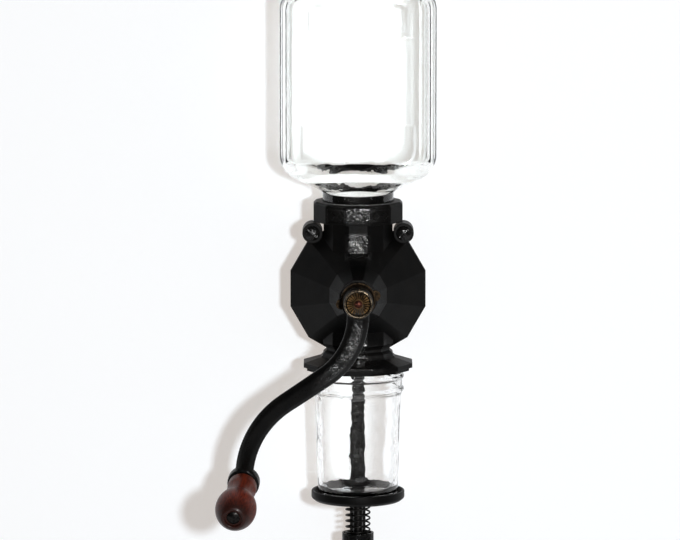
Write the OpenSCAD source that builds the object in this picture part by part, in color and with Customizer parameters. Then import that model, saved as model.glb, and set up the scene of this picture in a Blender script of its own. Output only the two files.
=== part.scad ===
// Wall coffee mill with a glass hopper and a glass catch jar.
// Millimetres, +Z up, the front faces -Y. The origin is where the crank shaft's axis meets the wall.

/* [Iron body] */
// Width of the twelve-sided body across its flats
body_w = 102; // [98:0.5:108]
// Distance from the wall to the joint between the two halves, where the upright axis also stands
axis_d = 48; // [47:0.5:52]
// Thickness of the cast walls
wall = 4; // [3.5:0.1:4.5]
// Depth of the front pyramid, from the joint to the boss
front_depth = 36; // [34:0.5:40]
// Width of the boss across its flats, where the nose begins
boss_w = 43; // [40:0.5:46]
// Length of the nose in front of the boss
nose_depth = 20; // [18:0.5:22]
// Width of the nose's tip across its flats
nose_w = 28; // [26:0.5:30]
// Width of the flat wall pad across its flats
pad_w = 68; // [64:0.5:72]
// Thickness of the wall pad's straight edge
pad_t = 4; // [3:0.5:5]
// Depth of the straight band on each side of the joint
rim_t = 2; // [1.5:0.5:3]
// Step by which the front half's edge lies inside the rear half's
rim_step = 0.4; // [0.2:0.1:0.8]

/* [Collar and flange] */
// Width of the collar across its flats
collar_w = 67; // [65:0.5:70]
// Height of the collar
collar_h = 15; // [14:0.5:18]
// Bevel round the collar's top
collar_bevel = 2; // [1:0.5:2.5]
// Depth of the raised border's panels on the collar's three front faces
panel_depth = 0.8; // [0.4:0.1:1]
// Radius of the throat that the beans fall through
throat_r = 20; // [18:0.5:21]
// Width of the twelve-sided throat and lower neck across their flats
neck_w = 52; // [51:0.5:54]
// Width of the bottom flange across its flats
flange_w = 82; // [80:0.5:85]
// Thickness of the flange's edge
flange_t = 3.2; // [2.4:0.1:4]
// Width of the ring below the flange across its flats
ring_w = 77; // [76:0.5:78]
// Height of the ring below the flange
ring_t = 2.5; // [2.5:0.1:5]
// Depth of the recess that the catch jar's lip seats in
jar_recess = 2; // [1.5:0.5:2.5]

/* [Hopper] */
// Width of the glass hopper
hopper_w = 118; // [110:1:122]
// Depth of the glass hopper
hopper_depth = 74; // [70:1:76]
// Height of the hopper's upright sides
hopper_side_h = 110; // [90:1:130]
// Radius of the hopper's lower shoulders, seen from the front
shoulder_r = 20; // [16:1:24]
// Radius of the hopper's upper shoulders
top_shoulder_r = 16; // [12:1:20]
// Outer radius of the hopper's neck
hopper_neck_r = 26.8; // [26:0.1:27.5]
// Thickness of the hopper's glass
hopper_glass_t = 3.2; // [2.5:0.1:4]
// Height of the hopper's lip, above the upper shoulders
lip_h = 8; // [6:0.5:12]
// Width of each of the four short flutes above the blank front panel
flute_w = 17.5; // [15:0.5:18]
// Depth of the flutes
flute_depth = 1.1; // [0.6:0.1:1.4]
// Thickness of the lid's tin sheet
tin_t = 0.8; // [0.5:0.1:1.2]
// Height of the lid's skirt
lid_skirt_h = 9; // [6:0.5:11]

/* [Grinding] */
// Radius of the crank shaft
shaft_r = 4; // [3.6:0.1:4.2]
// Outer radius of the fixed burr
fixed_burr_r = 25; // [24:0.5:25.5]
// Radius of the hole in the fixed burr that the beans are fed through
feed_r = 12; // [11.5:0.1:12.5]
// Thickness of the fixed burr
fixed_burr_t = 6; // [5:0.5:7]
// Radius of the rotating burr
burr_r = 22.5; // [21:0.5:23]
// Thickness of the rotating burr's disc
burr_t = 6; // [5:0.5:7]
// Gap between the burrs as they are set
burr_gap = 0.8; // [0.6:0.1:1.2]
// Number of teeth on each burr's face
tooth_count = 20; // [12:1:24]
// Depth of the burrs' teeth
tooth_depth = 1.2; // [0.8:0.1:1.6]
// Length that one turn of the feed screw takes
auger_pitch = 16; // [12:1:20]

/* [Regulator] */
// Outer radius of the regulator's threaded stem
stem_r = 8; // [7.6:0.1:8.4]
// Radius of the regulator's disc
regulator_r = 13; // [12:0.5:13.5]
// Thickness of the regulator's disc
regulator_t = 5; // [4:0.5:5.5]
// Distance from the shaft to the tip of each wing
wing_reach = 17; // [15.5:0.5:18]
// Angle of the wings from level
wing_angle = 14; // [0:2:90]

/* [Crank] */
// Distance from the nose's face forward to the middle of the arm at the hub
arm_forward = 22; // [21:0.5:26]
// Distance that the arm falls back towards the wall between the hub and the eye
arm_set_back = 28; // [24:1:30]
// Angle of the arm's first stretch from straight down
arm_start_angle = 1; // [0:1:8]
// Length of the arm's first straight stretch
arm_start_l = 10; // [6:1:16]
// Radius of the upper bend
upper_bend_r = 57; // [50:1:66]
// Angle of the upper bend
upper_bend = 54; // [44:1:56]
// Length of the straight stretch between the bends
arm_mid_l = 36; // [28:1:42]
// Radius of the lower bend
lower_bend_r = 74; // [66:1:82]
// Angle of the lower bend
lower_bend = 51; // [42:1:53]
// Length of the arm's last straight stretch
arm_end_l = 8; // [8:1:16]
// Width of the arm beside the hub
arm_w = 17; // [15:0.5:18]
// Width of the arm beside the eye
arm_end_w = 13.6; // [12:0.2:15]
// Thickness of the arm at the hub, and of its eye
arm_t = 9; // [8:0.5:10]
// How much thinner the arm is beside the eye
arm_thinning = 1.2; // [1:0.1:2]
// Radius of the hub
hub_r = 11; // [10.5:0.5:12]
// Radius of the eye that carries the knob
eye_r = 12.2; // [11.5:0.1:13]

/* [Knob] */
// Length of the wooden knob
knob_l = 53.5; // [48:0.5:58]
// Radius of the knob's ball at its widest
ball_r = 15.4; // [14:0.2:17]
// Radius of the knob's neck
knob_neck_r = 10.9; // [10:0.1:11.2]
// Angle that the knob's lean turns from the crank's radius towards straight down
knob_turn = 10; // [0:1:16]
// Radius of the pin that the knob turns on
pin_r = 3; // [2.6:0.1:3.4]

/* [Catch jar and cup holder] */
// Radius of the jar's beads, the widest part of its mouth
jar_bead_r = 35; // [34:0.1:35.4]
// Radius of the jar's side below the mouth
jar_top_r = 32.4; // [31.5:0.1:33]
// Radius of the jar's side above the base
jar_base_r = 30.2; // [28:0.1:31]
// Height of the jar
jar_h = 100; // [92:0.5:104]
// Thickness of the jar's glass
jar_t = 2.8; // [2.2:0.1:3.4]
// Outer radius of the tray
tray_r = 35.3; // [34.6:0.1:36]
// Height of the tray from its underside to its rim
tray_h = 8; // [6:0.5:10]
// Thickness of the tray's floor
tray_floor_t = 2.5; // [2:0.1:3.5]
// Radius of the tray's rod
rod_r = 3.7; // [3.2:0.1:4]
// Mean radius of the tray's spring
spring_r = 9; // [8.6:0.1:9.2]
// Radius of the spring's wire
wire_r = 0.7; // [0.5:0.05:0.8]
// Number of the spring's turns
spring_turns = 6; // [5:0.5:7]
// Length of the spring between the tray and its seat
spring_l = 28; // [27:0.5:32]
// Outer radius of the holder's boss
holder_boss_r = 12; // [11.6:0.1:13]
// Height of the holder's boss
holder_boss_h = 22; // [18:0.5:26]
// Width of the holder's stem
stem_w = 12; // [9:0.5:13]
// Depth of the holder's stem, from the wall side to the jar side
stem_depth = 8.2; // [7:0.1:8.6]
// Distance between the two screw holes in the holder's foot
foot_hole_spacing = 30; // [26:1:36]
// Radius of the screw holes in the holder's foot
foot_hole_r = 2.4; // [2:0.1:2.8]

/* [Hidden] */
$fn = 64;

// Shared clearances
run_fit = 0.05; // between a shaft and its bearing, on the radius
slip = 0.3;     // between loose parts, on the radius
face_gap = 0.25; // between faces that turn against each other
eps = 0.01;     // overlap that makes a cut or a join clean
far = 200;      // reach of a cut that passes right through

// Body, measured as the distance d from the wall or the height z above the shaft
body_r = body_w / 2;
axis_y = -axis_d;
boss_d = axis_d + front_depth;
nose_d = boss_d + nose_depth;
back_t = wall * 1.5;
inner_w = body_w - 2.2 * wall;
partition_t = wall;
partition_d = axis_d - partition_t;
collar_z = body_r + 1;
collar_top = collar_z + collar_h;
socket_z = collar_top - 11.5;
flange_slope_z = -(body_r + 1);
flange_top = flange_slope_z - 3.6;
flange_bottom = flange_top - flange_t;
ring_bottom = flange_bottom - ring_t;
neck_r = neck_w / 2;
neck_fillet = 4;
undercut_r = 1.6 * neck_fillet; // curve below the body, above the neck's fillet
undercut_sweep = 55;
undercut_rise = 2;
spout_r = throat_r;
jar_lip_z = ring_bottom + jar_recess - face_gap;
ramp_z = fixed_burr_r + 6;
ear_r = 7.6;
ear_angle = 51.5;
ear_reach = body_r + ear_r - 3.4;
ear_front = 9;
ear_rear = 10;
screw_r = 2.4;
small_screw_r = 1.6;
bracket_screw_r = 1.8;
screw_slip = 0.2; // round a screw's shank in the piece that it holds, on the radius

// Shaft line, measured from the wall
trough_r = feed_r;
auger_r = feed_r - 1;
rear_bearing_d = 20;
shaft_start = back_t + 8;
fixed_burr_d = axis_d;
fixed_face_d = fixed_burr_d + fixed_burr_t;
burr_d = fixed_face_d + burr_gap;
burr_hub_r = 9;
burr_hub_d = burr_d + burr_t + 5;
washer_t = 1.5;
washer_d = burr_hub_d + face_gap;
stem_d = washer_d + washer_t + face_gap;
regulator_d = nose_d + 0.9;
arm_d = nose_d + arm_forward;
hub_rear = arm_d - arm_t / 2 - 6.5;
hub_front = arm_d + arm_t / 2 + 2;
hub_recess = 3.5;
hub_floor = hub_front - hub_recess;
square_w = shaft_r * 1.6;
square_d = hub_rear + 0.8;
shaft_end = hub_floor - 0.4;
regulator_dome_t = hub_rear - 1 - regulator_d - regulator_t;

// Crank path in the plane of the arm, as [x, z] from the shaft
start_heading = -(90 + arm_start_angle);
mid_heading = start_heading - upper_bend;
end_heading = mid_heading + lower_bend;
bend_in = arm_start_l * ahead(start_heading);
upper_centre = bend_in + upper_bend_r * right_of(start_heading);
bend_out = upper_centre - upper_bend_r * right_of(mid_heading);
turn_in = bend_out + arm_mid_l * ahead(mid_heading);
lower_centre = turn_in - lower_bend_r * right_of(mid_heading);
turn_out = lower_centre + lower_bend_r * right_of(end_heading);
eye_at = turn_out + arm_end_l * ahead(end_heading);
crank_l = norm(eye_at);
crank_angle = atan2(eye_at[1], eye_at[0]);
knob_lean = atan(2 * arm_set_back / crank_l);

// Knob, measured along its own axis from the middle of the eye
knob_washer_t = 1.2;
knob_base = arm_t / 2 + knob_washer_t + 0.3;
knob_tip = knob_base + knob_l;
ball_at = knob_base + knob_l * 0.7;
tip_r = 8.4;
tip_recess = 2.4;

// Jar and holder
tray_floor = jar_lip_z - jar_h;
tray_bottom = tray_floor - tray_floor_t;
spring_seat = tray_bottom - spring_l;
seat_depth = 3;
boss_top = spring_seat + seat_depth;
boss_bottom = boss_top - holder_boss_h;
stop_gap = 4;
stop_h = 8;
stop_r = 7;
stop_bottom = boss_bottom - stop_gap - stop_h;
rod_end = stop_bottom - 6;
rod_pin_r = 1.25;
stem_back = 1;
stem_front = -stem_back - stem_depth;
foot_t = 5;
foot_lobe_r = 9;
foot_z = boss_bottom - 24;
tongue_top = -14;
tongue_t = 4;
tongue_w = stem_w + 2;
bracket_screw_drops = [6, 14]; // below the tongue's top
bracket_screw_bite = 5; // shank beyond the tongue, in the housing

// Radius at the corners of a twelve-sided form that is w across its flats
function corner(w) = w / 2 / cos(15);
function ahead(h) = [cos(h), sin(h)];
function right_of(h) = [sin(h), -cos(h)];
function unit(v) = v / norm(v);
function arc(c, r, from, to, steps) =
    [for (i = [0:steps]) let (a = from + (to - from) * i / steps) c + r * [cos(a), sin(a)]];

// Turns an upright shape so that it points to the front, starting d from the wall
module forward(d = 0) {
    translate([0, -d, 0]) rotate([90, 0, 0]) children();
}

// Round bar or hole that points to the front, from d to d + l
module rod(d, r, l) {
    forward(d) cylinder(r = r, h = l, $fn = 32);
}

// Stands a shape on the upright axis at height z
module upright(z = 0) {
    translate([0, axis_y, z]) children();
}

module mirrored() {
    children();
    mirror([1, 0, 0]) children();
}

// Twelve-sided revolve of an outline whose radii are given at the corners
module lathe12(points) {
    rotate([0, 0, 15]) rotate_extrude($fn = 12) polygon(points);
}

// Twelve-sided taper between two widths across the flats
module taper12(w1, w2, h) {
    rotate([0, 0, 15]) cylinder(h = h, r1 = corner(w1), r2 = corner(w2), $fn = 12);
}

module ring(r_out, r_in, h) {
    difference() {
        cylinder(r = r_out, h = h);
        translate([0, 0, -eps]) cylinder(r = r_in, h = h + 2 * eps);
    }
}

// Closed skin over rings of points; loop joins the last ring to the first, otherwise both ends are capped
module skin(rings, loop = false) {
    n = len(rings[0]);
    m = len(rings);
    spans = loop ? m : m - 1;
    sides = [for (i = [0:spans - 1], j = [0:n - 1])
        let (a = i * n, b = ((i + 1) % m) * n, k = (j + 1) % n)
        each [[a + j, b + k, a + k], [a + j, b + j, b + k]]];
    caps = loop ? [] : [[for (j = [0:n - 1]) j], [for (j = [n - 1:-1:0]) (m - 1) * n + j]];
    polyhedron(points = [for (r = rings) each r], faces = concat(sides, caps), convexity = 8);
}

// Slotted screw whose head stands on z = 0 and whose shank goes down
module slotted_screw(r, l, head_r, head_t) {
    difference() {
        union() {
            translate([0, 0, -l]) cylinder(r = r, h = l + eps, $fn = 32);
            intersection() {
                cylinder(r = head_r, h = head_t, $fn = 32);
                translate([0, 0, head_t - 1.6 * head_r]) sphere(r = 1.6 * head_r, $fn = 48);
            }
        }
        translate([-head_r - 1, -head_r * 0.12, head_t * 0.5]) cube([2 * head_r + 2, head_r * 0.24, head_t]);
    }
}

// ---- Iron body ----

// Outer form of the body, a double twelve-sided pyramid lying along the shaft, with a band round the joint
module body_form(band_w) {
    forward() lathe12([[0, 0],
        [corner(pad_w), 0],
        [corner(pad_w), pad_t],
        [corner(band_w), axis_d - rim_t],
        [corner(band_w), axis_d + rim_t],
        [corner(boss_w), boss_d],
        [corner(nose_w), nose_d],
        [0, nose_d]]);
}

// Outer form of the upright column: flange ring, flange, waisted neck, throat and collar
module column_form() {
    waist = corner(neck_w);
    waist_z = flange_slope_z + neck_fillet;
    upright() lathe12(concat([[0, ring_bottom],
        [corner(ring_w), ring_bottom],
        [corner(ring_w), flange_bottom],
        [corner(flange_w), flange_bottom],
        [corner(flange_w), flange_top]],
        arc([waist + neck_fillet, waist_z], neck_fillet, 270, 180, 3),
        arc([waist + neck_fillet, waist_z + undercut_rise], undercut_r, 180, 180 - undercut_sweep, 3),
        [[waist, -neck_r],
        [waist, collar_z],
        [corner(collar_w), collar_z],
        [corner(collar_w), collar_top - collar_bevel],
        [corner(collar_w - 2 * collar_bevel), collar_top],
        [0, collar_top]]));
}

module at_ears() {
    mirrored() translate([ear_reach * cos(ear_angle), 0, ear_reach * sin(ear_angle)]) children();
}

// Outer form of a whole body with this width at its band
module casting_form(band_w) {
    body_form(band_w);
    column_form();
    at_ears() forward(axis_d - ear_rear) cylinder(r = ear_r, h = ear_rear + ear_front);
}

// Framed panels with two cast lozenges, on the collar's three front faces
module collar_panels() {
    face_w = 2 * corner(collar_w) * sin(15);
    panel_w = face_w - 3;
    panel_h = collar_h - collar_bevel - 3.6;
    for (turn = [-30, 0, 30])
        upright(collar_z + 1.8) rotate([0, 0, turn]) translate([0, -collar_w / 2, 0])
            difference() {
                translate([-panel_w / 2, -1, 0]) cube([panel_w, panel_depth + 1, panel_h]);
                for (side = [-1, 1])
                    translate([side * panel_w / 4, 0, panel_h / 2]) rotate([90, 45, 0])
                        translate([0, 0, -panel_depth - eps])
                            cube([panel_h * 0.46, panel_h * 0.46, 2 * panel_depth], center = true);
            }
}

// Space above the feed screw, with sides that slope into its trough
module bean_profile() {
    edge = trough_r / sqrt(2);
    polygon([[-edge, -edge], [edge, -edge], [body_r, body_r - 2 * edge], [body_r, body_r],
        [-body_r, body_r], [-body_r, body_r - 2 * edge]]);
    circle(r = trough_r);
}

module grounds_profile() {
    outer = trough_r + wall;
    edge = outer / sqrt(2);
    difference() {
        polygon([[-edge, -edge], [edge, -edge], [body_r, body_r - 2 * edge], [body_r, -body_r],
            [-body_r, -body_r], [-body_r, body_r - 2 * edge]]);
        circle(r = outer);
    }
}

module rear_cavity_form() {
    forward(back_t) taper12(pad_w - 2 * wall, inner_w, axis_d - back_t);
}

// Hollow of the rear half for beans, behind the partition
module bean_cavity() {
    intersection() {
        rear_cavity_form();
        forward(back_t) linear_extrude(partition_d - back_t) bean_profile();
    }
}

// Hollow under the trough, open to the spout
module dust_cavity() {
    intersection() {
        rear_cavity_form();
        forward(back_t) linear_extrude(partition_d - back_t) grounds_profile();
    }
}

// Wedge of space below the sloping ramp; lift raises it
module below_ramp(lift) {
    top = ramp_z + lift;
    rotate([90, 0, 90]) linear_extrude(2 * body_r, center = true)
        polygon([[axis_y + eps, top], [axis_y - body_r, top + body_r], [axis_y - body_r, -body_r],
            [axis_y + eps, -body_r]]);
}

// Hollow of the front half round the burrs
module front_cavity() {
    difference() {
        intersection() {
            forward(axis_d - eps) taper12(inner_w, boss_w - 2 * wall, front_depth - wall);
            below_ramp(-1.45 * wall);
        }
        forward(burr_hub_d + 1.2) cylinder(r = stem_r + wall, h = far);
    }
}

// Upright shaft for the beans, from the collar down to the ramp
module throat_cut() {
    upright(ramp_z) cylinder(r = throat_r, h = socket_z - ramp_z + eps);
    upright(socket_z) cylinder(r = hopper_neck_r + slip, h = far);
}

module spout_cut() {
    upright(ring_bottom - 1) cylinder(r = spout_r, h = 1 - ring_bottom - fixed_burr_r - 1.5);
    upright(ring_bottom - eps) cylinder(r = jar_bead_r + 0.8, h = jar_recess + eps);
}

// Space of the front half: before the joint plane, between the flange and the collar
module front_zone() {
    translate([-far, -far + axis_y, -body_r]) cube([2 * far, far, collar_z + body_r]);
}

foot_tab_w = 11;
foot_tab_t = 4.2;
foot_tab_z = flange_top + 1;
foot_screw_reach = (neck_r + flange_w / 2) / 2;
foot_screw_l = 6.5;

module at_foot_screw() {
    upright(foot_tab_z + foot_tab_t) translate([0, -foot_screw_reach, 0]) children();
}

// Hole for the foot screw's shank, with room below the shank's end
module foot_screw_hole(clear) {
    at_foot_screw() translate([0, 0, -foot_screw_l - 1.5])
        cylinder(r = small_screw_r + clear, h = foot_screw_l + 3, $fn = 32);
}

// Round-ended tab at the front half's lower edge, which is screwed down on the flange; grow widens it
module foot_tab(grow, h) {
    half = foot_tab_w / 2 + grow;
    upright(foot_tab_z) {
        translate([-half, -foot_screw_reach, 0]) cube([2 * half, 5 + grow, h]);
        translate([0, -foot_screw_reach, 0]) cylinder(r = half, h = h);
    }
}

module at_burr_screws() {
    mirrored() translate([fixed_burr_r + lug_l / 2 - lug_lap, 0, 0]) children();
}

module at_bracket_screws() {
    for (drop = bracket_screw_drops)
        translate([0, 0, tongue_top - drop]) children();
}

keyhole_z = 15;
keyhole_rise = 8;
keyhole_head_r = 5.2;
keyhole_slot_r = 2.7;
keyhole_skin = 3;
keyhole_depth = 9;

// Keyhole for a wall screw, with room for the screw's head behind its slot
module keyhole_cut() {
    module rise(r) {
        translate([0, keyhole_z]) circle(r = r);
        translate([0, keyhole_z + keyhole_rise]) circle(r = r);
        translate([-r, keyhole_z]) square([2 * r, keyhole_rise]);
    }
    forward(-eps) linear_extrude(keyhole_depth) {
        translate([0, keyhole_z]) circle(r = keyhole_head_r);
        rise(keyhole_slot_r);
    }
    forward(keyhole_skin) linear_extrude(keyhole_depth - keyhole_skin) rise(keyhole_head_r);
}

// Solid lumps inside the rear half: bearing, keyhole cover and the rib behind the holder's tongue
module rear_lumps() {
    cover_t = 2.5;
    rib_d = tongue_t + 8;
    forward() cylinder(r = shaft_r + 5, h = rear_bearing_d);
    forward() linear_extrude(keyhole_depth + cover_t)
        translate([-keyhole_head_r - cover_t, keyhole_z - keyhole_head_r - cover_t])
            square([2 * (keyhole_head_r + cover_t), keyhole_rise + 2 * (keyhole_head_r + cover_t)]);
    translate([-tongue_w / 2 - 2, -rib_d, -pad_w / 2]) cube([tongue_w + 4, rib_d, pad_w / 2 + tongue_top + 4]);
}

module housing_rear() {
    color("#1b1c1d")
        difference() {
            casting_form(body_w);
            front_zone();
            difference() {
                union() {
                    bean_cavity();
                    dust_cavity();
                }
                rear_lumps();
            }
            throat_cut();
            spout_cut();
            collar_panels();
            forward(back_t - 1) cylinder(r = shaft_r + run_fit, h = rear_bearing_d);
            forward(partition_d - 1) cylinder(r = feed_r, h = partition_t + 2);
            keyhole_cut();
            translate([-tongue_w / 2 - slip, -tongue_t, -body_r - 1])
                cube([tongue_w + 2 * slip, tongue_t + 1, body_r + 1 + tongue_top + slip]);
            translate([-stem_w / 2 - 0.5, stem_front - 0.6, ring_bottom - 1])
                cube([stem_w + 1, 1.6 - stem_front, -ring_bottom + flange_slope_z + 3]);
            at_ears() rod(axis_d - ear_rear - 1, screw_r + run_fit, ear_rear + 2);
            at_burr_screws() rod(partition_d - 1, small_screw_r + run_fit, partition_t + 2);
            at_bracket_screws() rod(tongue_t - 1, bracket_screw_r + run_fit, bracket_screw_bite + 2);
            foot_tab(slip, 2 * foot_tab_t);
            foot_screw_hole(run_fit);
        }
}

module housing_front() {
    color("#202122")
        difference() {
            union() {
                difference() {
                    intersection() {
                        casting_form(body_w - 2 * rim_step);
                        front_zone();
                    }
                    front_cavity();
                    intersection() {
                        throat_cut();
                        rotate([90, 0, 90]) linear_extrude(2 * body_r, center = true)
                            polygon([[axis_y + 1, ramp_z - 1], [axis_y - body_r, ramp_z + body_r],
                                [axis_y + 1, ramp_z + body_r]]);
                    }
                    spout_cut();
                }
                foot_tab(0, foot_tab_t);
            }
            forward(burr_hub_d) cylinder(r = stem_r, h = far);
            at_ears() rod(axis_d - 1, screw_r + screw_slip, ear_front + 2);
            foot_screw_hole(screw_slip);
        }
}

module cover_screws() {
    color("#26272a") at_ears() forward(axis_d + ear_front)
        slotted_screw(screw_r, ear_front + ear_rear - 1, ear_r - 2, 2.8);
}

module foot_screw() {
    color("#26272a") at_foot_screw() slotted_screw(small_screw_r, foot_screw_l, 3.4, 2);
}

// ---- Hopper ----

hopper_points = 48;
neck_start = socket_z + face_gap;
shoulder_slope = 27;
shoulder_z = collar_top + 0.5 * (hopper_w / 2 - hopper_neck_r) + shoulder_r;
top_shoulder_z = shoulder_z + hopper_side_h;
lip_top = top_shoulder_z + top_shoulder_r + lip_h;

// Outline of the hopper at half-width a, between a round neck and a rounded oblong body
function oblong(a, z, inset) =
    let (g = max(0, (a + inset - hopper_neck_r) / (hopper_w / 2 - hopper_neck_r)),
        b = hopper_neck_r + g * (hopper_depth / 2 - hopper_neck_r) - inset,
        power = 2 / (2 + 2.2 * g))
    [for (i = [0:hopper_points - 1])
        let (t = 360 * i / hopper_points, c = cos(t), s = sin(t))
        [a * sign(c) * pow(abs(c), power), axis_y + b * sign(s) * pow(abs(s), power), z]];

// Rings of the hopper from neck to lip, drawn inset into the glass by t
function hopper_rings(t) =
    let (lower = arc([hopper_w / 2 - shoulder_r, shoulder_z], shoulder_r - t, shoulder_slope - 90, 0, 5),
        upper = arc([hopper_w / 2 - top_shoulder_r, top_shoulder_z], top_shoulder_r - t, 0, 70, 5),
        foot_z = lower[0][1] - (lower[0][0] - (hopper_neck_r - t)) * tan(shoulder_slope),
        spots = concat([[hopper_neck_r - t, neck_start], [hopper_neck_r - t, foot_z]], lower, upper,
            [[upper[5][0], lip_top]]))
    [for (s = spots) oblong(s[0], s[1], t)];

// Cut for an upright flute w wide in the hopper's front, centred at x, with one end rounded;
// inset and turn follow the front's slight curve
module flute(x, w, low, high, round_top, inset, turn) {
    cut_r = (pow(w / 2, 2) + pow(flute_depth, 2)) / (2 * flute_depth);
    translate([x, axis_y - hopper_depth / 2 + inset, 0]) rotate([0, 0, turn]) intersection() {
        translate([0, flute_depth - cut_r, low - w]) cylinder(r = cut_r, h = high - low + 2 * w);
        rotate([90, 0, 0]) linear_extrude(4, center = true) {
            translate([0, round_top ? high - w / 2 : low + w / 2]) circle(r = w / 2);
            translate([-w / 2, round_top ? low : low + w / 2]) square([w, high - low - w / 2]);
        }
    }
}

// Four short flutes above the front's blank panel, and three wide ones that end on the shoulder below it
module front_flutes() {
    flute_top = top_shoulder_z + 3;
    flute_h = 26;
    panel_bottom = shoulder_z + 24;
    for (side = [-1, 1], step = [0.5, 1.5])
        flute(side * step * (flute_w + 1.5), flute_w, flute_top - flute_h, flute_top, true,
            (step - 0.5) * 0.4, 0);
    for (step = [-1, 0, 1])
        flute(step * 30, 34 - 8 * abs(step), shoulder_z - 8, panel_bottom, false, abs(step) * 0.7, step * 6);
}

module hopper_glass() {
    outer = hopper_rings(0);
    inner = hopper_rings(hopper_glass_t);
    last = len(inner) - 1;
    color("#dfe8e6", 0.35)
        difference() {
            skin(concat(outer, [for (i = [last:-1:0]) inner[i]]), loop = true);
            front_flutes();
        }
}

lid_clear = 0.4;
lip_half = hopper_w / 2 - top_shoulder_r * (1 - cos(70));
lid_top = lip_top + face_gap + tin_t;

// Pressed tin lid with a skirt outside the lip and a shallow dished top
module hopper_lid() {
    a = lip_half + lid_clear;
    inside = lid_top - tin_t;
    color("#b9bcc0")
        difference() {
            union() {
                skin([oblong(a, inside, -lid_clear), oblong(a, lip_top - lid_skirt_h, -lid_clear),
                    oblong(a + tin_t, lip_top - lid_skirt_h, -lid_clear - tin_t),
                    oblong(a + tin_t, lid_top - 1, -lid_clear - tin_t),
                    oblong(a + tin_t - 1, lid_top, 0.6 - lid_clear - tin_t)]);
                upright(lid_top - eps) cylinder(r = 14, h = 1.2);
            }
            upright(lid_top - 3) cylinder(r = 2.1, h = 6, $fn = 32);
        }
}

module lid_knob() {
    base = lid_top + 1.2;
    color("#2a2a2c") upright(base) {
        rotate_extrude() polygon(concat([[0, 0], [6, 0], [6, 1.2], [3.6, 3], [3.4, 5]],
            arc([5, 9], 4, -60, 90, 8), [[0, 13]]));
        translate([0, 0, -tin_t - 2]) cylinder(r = 2, h = 4, $fn = 32);
    }
}

// ---- Grinding parts ----

// Cross pin through the burr's hub, from side to side
burr_pin_r = 1.5;
burr_pin_d = burr_d + burr_t + 2.4;
module cross_pin_hole(d, r, l) {
    translate([0, -d, 0]) rotate([0, 90, 0]) cylinder(r = r, h = l, center = true, $fn = 32);
}

module shaft() {
    color("#8d8f92")
        difference() {
            union() {
                forward(shaft_start) cylinder(r = shaft_r, h = square_d - shaft_start);
                intersection() {
                    forward(square_d - eps) cylinder(r = shaft_r, h = shaft_end - square_d);
                    forward(square_d - eps) translate([-square_w / 2, -square_w / 2, 0])
                        cube([square_w, square_w, shaft_end - square_d]);
                }
            }
            cross_pin_hole(burr_pin_d, burr_pin_r, far);
            rod(shaft_end - 11, 2 + run_fit, 12);
        }
}

// Rings of a wire coil that climbs from z = 0 to z = h
function coil(r, wire, h, turns, per_turn, sides) =
    let (rise = h - 2 * wire, tilt = atan(rise / turns / (2 * PI * r)))
    [for (i = [0:turns * per_turn])
        let (a = 360 * i / per_turn, z = wire + rise * i / (turns * per_turn))
        [for (j = [0:sides - 1])
            let (b = -360 * j / sides, out = r + wire * cos(b), up = wire * sin(b), back = up * sin(tilt))
            [out * cos(a) + back * sin(a), out * sin(a) - back * cos(a), z + up * cos(tilt)]]];

module end_spring() {
    space = shaft_start - (back_t - 1);
    color("#9a9ca0") forward(back_t - 1 + 0.1) skin(coil(shaft_r - 0.8, 0.5, space - 0.7, 3.5, 10, 6));
}

module feed_auger() {
    start = partition_d - 22;
    length = fixed_face_d - 2 - start;
    hub = shaft_r + 2.2;
    flight_t = 2.6;
    color("#4b4a48")
        difference() {
            union() {
                forward(start) cylinder(r = hub, h = length);
                forward(start)
                    linear_extrude(length, twist = -360 * length / auger_pitch, slices = 24, segments = 8)
                        for (turn = [0, 180])
                            rotate(turn) translate([0, -flight_t / 2]) square([auger_r, flight_t]);
            }
            forward(start - 1) cylinder(r = shaft_r + 0.02, h = length + 2);
        }
}

// Lugs that hold the fixed burr, and the skew of both burrs' grooves
lug_w = 9;
lug_l = 8;
lug_t = 3;
lug_lap = 0.5; // how far a lug's screw stands inside the lug's middle
burr_screw_bite = 3; // shank beyond the lug, in the partition
burr_screw_head_r = 3;
burr_screw_head_t = 1.8;
groove_skew = 14;

// Ring of radial vee grooves cut into a face at z = 0, each turned by skew
module face_grooves(r_in, r_out, skew) {
    half = PI * r_out / tooth_count * 0.62;
    for (i = [0:tooth_count - 1])
        rotate([0, 0, 360 * i / tooth_count]) translate([r_in, 0, 0]) rotate([90, 0, 90 + skew])
            linear_extrude(2 * (r_out - r_in)) polygon([[-half, eps], [half, eps], [0, -tooth_depth]]);
}

module fixed_burr() {
    color("#3a3937")
        difference() {
            union() {
                forward(fixed_burr_d) cylinder(r = fixed_burr_r, h = fixed_burr_t);
                mirrored() intersection() {
                    forward(fixed_burr_d) translate([0, -lug_w / 2, 0])
                        cube([fixed_burr_r + lug_l, lug_w, lug_t]);
                    forward(fixed_burr_d) cylinder(r = fixed_burr_r + lug_l, h = lug_t);
                }
            }
            forward(fixed_burr_d - 1) cylinder(r = feed_r, h = fixed_burr_t + 2);
            forward(fixed_face_d) face_grooves(feed_r - 1, fixed_burr_r, groove_skew);
            at_burr_screws() rod(fixed_burr_d - 1, small_screw_r + screw_slip, lug_t + 2);
        }
}

module burr_screws() {
    color("#77797c") at_burr_screws() forward(fixed_burr_d + lug_t)
        slotted_screw(small_screw_r, lug_t + burr_screw_bite, burr_screw_head_r, burr_screw_head_t);
}

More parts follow.
